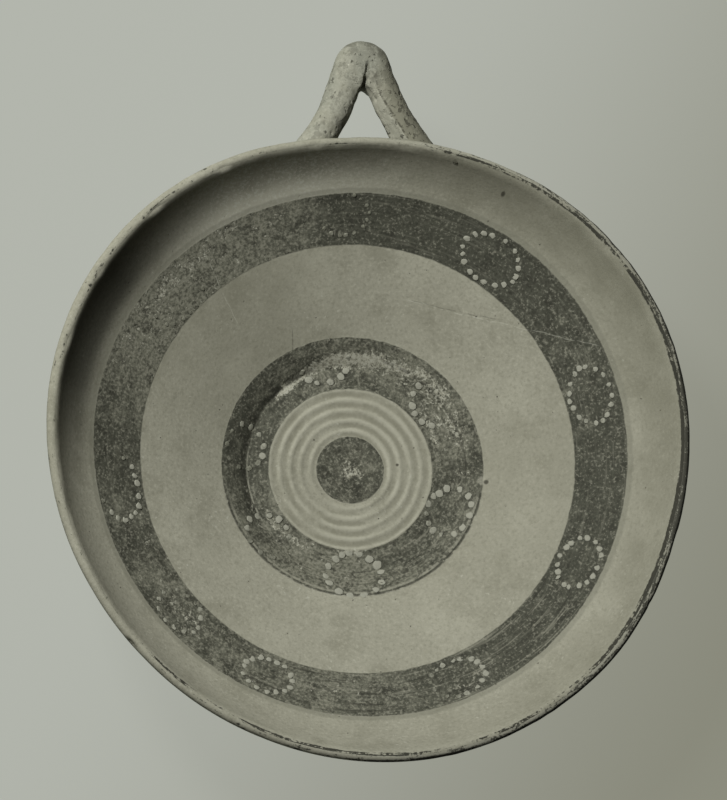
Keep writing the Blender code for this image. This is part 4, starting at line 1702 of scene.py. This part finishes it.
        # Painted shade: dark clay colour from the lip's crest outwards, over the crest and the whole
        # outside, dimming the crest where the light falls on it
        coats.lay(TONES.dark_clay_and_shade, lip_turn.rise(-0.8, 0.0) * 0.25)
        crest = across.rise(*PLAN.lip_crest) * lip_turn.rise(0.80, 0.60)
        coats.lay(TONES.white_slip, crest * coats.attribute("lip_crest_slip").rise(0.0, 0.3) * 0.25)
        drawn_out = (coats.turned(0.8, 5.0, 43.0) - 0.5) * 0.8
        speckle = (coats.cloud(1.0, 28.0, 3.0, 0.7) - 0.5) * 0.7 + drawn_out + 0.5
        coats.lay(TONES.deep_slip_and_shade, crest * coats.left(coats.attribute("lip_crest_slip"), speckle) * 0.85)
        edge = coats.attribute("lip_outer_slip")
        outward = (lip_turn + (broken - 0.5) * 0.6 + edge * 0.45).rise(0.45, 0.62)
        outer = outward * lip_turn.rise(1.4, 1.15)
        coats.lay(TONES.deep_slip_and_shade, outer * coats.left(edge, broken) * 0.95)
        inner = across.between(*PLAN.lip_line, 0.15) * lip_turn.rise(0.3, 0.1)
        coats.lay(TONES.deep_slip_and_shade, inner * coats.left(coats.attribute("lip_inner_slip"), broken) * 0.95)

    def marks(self, coats: Coats, inside: Value) -> None:
        """Marks the cracks, scratches and pits of the inside, and the thin lines round the floor, most of
        them painted shade and painted highlights.

        Args:
            coats: The bowl's coats.
            inside: 1 on the inside and 0 on the outside.
        """
        for scratch in SCRATCHES:
            line = coats.line(scratch) * inside
            coats.lay(TONES.white_slip if scratch.pale else TONES.soil, line * scratch.cover)
        broken = coats.cloud(2.4, 36.0, 3.0).rise(0.38, 0.55)
        # One turning line, the rest painted shade in deep slip colour and painted highlights in clay
        # colour
        for line in TURNED_LINES_AND_PAINTED_LIGHT:
            away = (coats.radius - line.radius).math("ABSOLUTE")
            across = away.rise(line.half_width, line.half_width * 0.3)
            there = across * coats.arc(line.azimuth, line.half_turn) * inside
            coats.lay(TONES.clay if line.pale else TONES.deep_slip_and_shade, there * broken * line.cover)
        coats.lay(TONES.pale_clay, coats.near(RUBBED_SPOT) * inside * 0.4)
        for spot in INSIDE_PITS:
            coats.lay(TONES.soil, coats.near(spot) * inside * 0.9)

    def white_dots(self, name: str) -> bpy.types.Material:
        """The white slip of the dots, thin and worn where its strength is low.

        Args:
            name: Name of the material.

        Returns:
            The finished material.
        """
        # Chalky white slip: greyed by soil, and so thin in the faint dots that the dark slip shows through
        coats = Coats(name, self.axis_y, TONES.thin_slip, self.CHALK_ROUGHNESS)
        speckle = coats.cloud(0.8, 25.0, 2.0, 0.75)
        coats.lay(TONES.slip, speckle.rise(0.6, 0.4) * 0.5)
        strength = coats.attribute("dot_strength") * 0.8 + coats.cloud(1.2, 41.0, 3.0, 0.7) - 0.5
        coats.lay(TONES.dot_slip, strength.rise(0.15, 0.65) * 0.95)
        coats.raise_by(speckle * 0.08)
        return coats.finish()


# Sub-assemblies

@dataclass
class ThrownBowl:
    """The bowl itself with the wear of its slip and its chipped lip."""

    wheel: Wheel
    form: BowlForm
    finish: ClayFinish
    sides: int = 432
    # Radius from which the rim was pulled out of round, and how the pull grows towards the rim
    pull_start: float = 96.0
    pull_power: float = 1.5
    # Within disc_end the disc's slip is evenly thin; past bands_part the broad band's table holds
    disc_end: float = 20.0
    disc_thinness: float = 0.3
    bands_part: float = 70.0
    # The lip's short and long unevenness, each as length and height, and how far it is worn down
    short_swell: tuple[float, float] = (4.0, 0.12)
    long_swell: tuple[float, float] = (11.0, 0.15)
    lip_loss: float = 0.15

    def build(self) -> bpy.types.Object:
        """Turns the bowl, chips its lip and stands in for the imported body.

        Returns:
            The bowl.
        """
        points, turns = self.form.section()
        clay = self.finish.painted("painted_buff_clay")
        bowl = self.wheel.turn("thrown_bowl", points, turns, self.sides, clay)
        self.age(bowl.data)
        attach(bowl, "root")
        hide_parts("bowl_body")
        return bowl

    def age(self, mesh: bpy.types.Mesh) -> None:
        """Wobbles and chips the turned mesh and stores where its slip is worn.

        Args:
            mesh: The turned bowl's mesh.
        """
        places = read_rows(mesh.vertices, "co")
        x = places[:, 0] / MM
        y = (places[:, 1] - self.wheel.axis_y) / MM
        radius = np.hypot(x, y)
        azimuth = np.degrees(np.arctan2(y, x)) % 360.0
        lip_turn = np.zeros(len(places), np.float32)
        mesh.attributes["lip_turn"].data.foreach_get("value", lip_turn)
        store(mesh, "wear", sum(patch.wear(azimuth, radius) for patch in WORN_PATCHES))
        round_values = {name: round_table(table, azimuth) for name, table in ROUND_THE_BOWL.items()}
        for name, values in round_values.items():
            store(mesh, name, values)
        store(mesh, "thrown_radius", radius)
        thinness = np.where(
            radius > self.bands_part, round_values["broad_band_thin"], round_values["inner_band_thin"])
        store(mesh, "slip_thinness", np.where(radius < self.disc_end, self.disc_thinness, thinness))
        # At -1 and 1 the lip runs into the wall, which stays as it was turned
        on_lip = np.abs(lip_turn) < 0.999
        depth = sum(chip.cut(azimuth, lip_turn, self.form.rim_radius) for chip in LIP_CHIPS) * on_lip
        spots = np.flatnonzero(on_lip)
        ragged = np.zeros(len(places))
        for seed, (length, height) in enumerate((self.short_swell, self.long_swell), 2):
            ragged[spots] += swells(places[spots], length, seed) * height
        normals = read_rows(mesh.vertex_normals, "vector")
        turn = np.radians(azimuth)
        outward = np.stack([np.cos(turn), np.sin(turn), np.zeros(len(turn))], axis=1)
        way_out = (radius - self.pull_start) / (self.form.rim_radius - self.pull_start)
        pulled = rim_pull(azimuth) * np.clip(way_out, 0.0, 1.0) ** self.pull_power
        moved = places + normals * ((ragged - self.lip_loss * on_lip - depth) * MM)[:, None]
        put_corners(mesh, moved + outward * (pulled * MM)[:, None])


@dataclass
class FootRing:
    """The ring of clay that the bowl stands on."""

    wheel: Wheel
    form: BowlForm
    finish: ClayFinish
    sides: int = 288
    joint: float = 0.15

    def build(self) -> bpy.types.Object:
        """Turns the ring under the floor.

        Returns:
            The ring.
        """
        points = self.form.foot_section(self.joint)
        clay = self.finish.plain("buff_clay", TONES.clay, 51.0)
        ring = self.wheel.turn("foot_ring_turned", points, [0.0] * len(points), self.sides, clay)
        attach(ring, "root")
        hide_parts("foot_ring")
        return ring


@dataclass
class WishboneHandle:
    """The handle: two arms from the wall, pinched into one round crown."""

    puller: HandPuller
    bowl: BowlForm
    form: HandleForm
    finish: ClayFinish

    def build(self) -> bpy.types.Object:
        """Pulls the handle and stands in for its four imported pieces.

        Returns:
            The handle.
        """
        clay = self.finish.handle("handle_clay")
        handle = self.puller.pull("wishbone_handle", self.bowl, self.form, clay)
        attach(handle, "root")
        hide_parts("handle_left_arm", "handle_right_arm", "left_root_luting", "right_root_luting")
        return handle


@dataclass
class DottedBands:
    """The circles of white dots on both bands."""

    trailer: SlipTrailer
    finish: ClayFinish

    def build(self, bowl: bpy.types.Object) -> list[bpy.types.Object]:
        """Sets the dots of each band down on the bowl.

        Args:
            bowl: The thrown bowl.

        Returns:
            The dots of each band as one piece.
        """
        slip = self.finish.white_dots("white_slip")
        pieces = []
        for side, circles in DOT_CIRCLES.items():
            dots = self.trailer.trail(f"slip_dots_{side.value}", circles, bowl, slip)
            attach(dots, "root")
            pieces.append(dots)
        return pieces


@dataclass
class Studio:
    """Floor, light and camera as in a museum photograph taken from above."""

    azimuth: float = 238.38
    elevation: float = 74.35
    roll: float = -0.55
    target: tuple[float, float, float] = (-0.0009, -0.00105, 0.0565)
    distance: float = 1.5
    lens: float = 173.0
    light_azimuth: float = 140.0
    light_elevation: float = 53.5
    light_distance: float = 1.0
    light_size: float = 0.26
    light_power: float = 14.0
    fill: float = 0.015
    floor_half: float = 3.0
    floor_colour: str = "#B1B4AB"
    floor_far_colour: str = "#8A8A7B"
    # The floor's glow is painted darker over this way in metres, as falloff from the window; the way is
    # slanted towards -y by the share below
    dimming: tuple[float, float] = (-0.09, 0.26)
    dimming_slant: float = 0.5
    floor_glow: float = 0.94

    def build(self) -> None:
        """Sets the floor, the light and the camera."""
        self.lay_floor()
        self.hang_light()
        self.set_camera()
        bpy.context.scene.view_settings.view_transform = "Standard"

    def lay_floor(self) -> None:
        """Lays a plain pale tabletop whose glow to the camera is painted darker away from the window."""
        half = self.floor_half
        corners = [(-half, -half, 0), (half, -half, 0), (half, half, 0), (-half, half, 0)]
        mesh = bpy.data.meshes.new("tabletop")
        mesh.from_pydata(corners, [], [(0, 1, 2, 3)])
        floor = new_object("tabletop", mesh)
        # Matt backdrop paper: no shine, and hardly a shadow, because the camera sees mostly its own glow
        material = bpy.data.materials.new("backdrop_paper")
        material.use_nodes = True
        tree = material.node_tree
        tree.nodes.clear()
        colour = linear(self.floor_colour)
        paper = add_node(tree, "ShaderNodeBsdfDiffuse", {"Color": colour})
        place = add_node(tree, "ShaderNodeTexCoord").outputs["Object"]
        axes = add_node(tree, "ShaderNodeSeparateXYZ", {0: place})
        away = Value(tree, axes.outputs[0]) - Value(tree, axes.outputs[1]) * self.dimming_slant
        # Painted shade: the glow is mixed towards the far colour away from the window, standing in for the
        # light's falloff
        dimmed = add_node(tree, "ShaderNodeMix", {
            0: away.rise(*self.dimming), 6: colour, 7: linear(self.floor_far_colour)}, data_type="RGBA")
        glow = add_node(tree, "ShaderNodeEmission", {"Color": dimmed.outputs[2]})
        seen = add_value(tree, "ShaderNodeLightPath", None, "Is Camera Ray") * self.floor_glow
        mixed = add_node(tree, "ShaderNodeMixShader", {0: seen, 1: paper, 2: glow})
        add_node(tree, "ShaderNodeOutputMaterial", {0: mixed})
        mesh.materials.append(material)

    def hang_light(self) -> None:
        """Hangs one large window-like light at the upper left, and sets a weak even fill."""
        way = direction(self.light_azimuth, self.light_elevation)
        lamp = bpy.data.lights.new("window", "AREA")
        lamp.shape = "DISK"
        lamp.size = self.light_size
        lamp.energy = self.light_power
        holder = bpy.data.objects.new("window", lamp)
        holder.location = Vector(self.target) + way * self.light_distance
        holder.rotation_euler = way.to_track_quat("Z", "Y").to_euler()
        bpy.context.scene.collection.objects.link(holder)
        world = bpy.data.worlds.new("soft_fill")
        world.use_nodes = True
        world.node_tree.nodes.clear()
        glow = add_node(world.node_tree, "ShaderNodeBackground", {"Strength": self.fill})
        add_node(world.node_tree, "ShaderNodeOutputWorld", {0: glow})
        bpy.context.scene.world = world

    def set_camera(self) -> None:
        """Sets the camera that sees the bowl as the photograph does."""
        way = direction(self.azimuth, self.elevation)
        roll = math.radians(self.roll)
        level = Vector((0.0, 1.0, 0.0)).cross(way).normalized()
        upright = way.cross(level)
        right = level * math.cos(roll) + upright * math.sin(roll)
        up = upright * math.cos(roll) - level * math.sin(roll)
        data = bpy.data.cameras.new("camera")
        data.lens = self.lens
        data.sensor_width = 36.0
        data.clip_start = 0.05
        camera = bpy.data.objects.new("camera", data)
        turn = Matrix((right, up, way)).transposed().to_4x4()
        camera.matrix_world = Matrix.Translation(Vector(self.target) + way * self.distance) @ turn
        bpy.context.scene.collection.objects.link(camera)
        bpy.context.scene.camera = camera


def main() -> None:
    """Builds the bowl, its foot, its handle and its paint, and sets the studio."""
    logging.basicConfig(level=logging.INFO, format="%(name)s: %(message)s")
    low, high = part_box("bowl_body")
    axis_y = (low[1] + high[1]) / 2
    form = BowlForm()
    finish = ClayFinish(axis_y)
    wheel = Wheel(axis_y)
    bowl = ThrownBowl(wheel, form, finish).build()
    pieces = [bowl, FootRing(wheel, form, finish).build()]
    pieces.append(WishboneHandle(HandPuller(axis_y), form, HandleForm(), finish).build())
    pieces += DottedBands(SlipTrailer(axis_y), finish).build(bowl)
    Studio().build()
    for piece in pieces:
        triangles = sum(len(face.vertices) - 2 for face in piece.data.polygons)
        LOG.info("%s: %d triangles", piece.name, triangles)


if __name__ == "__main__":
    main()
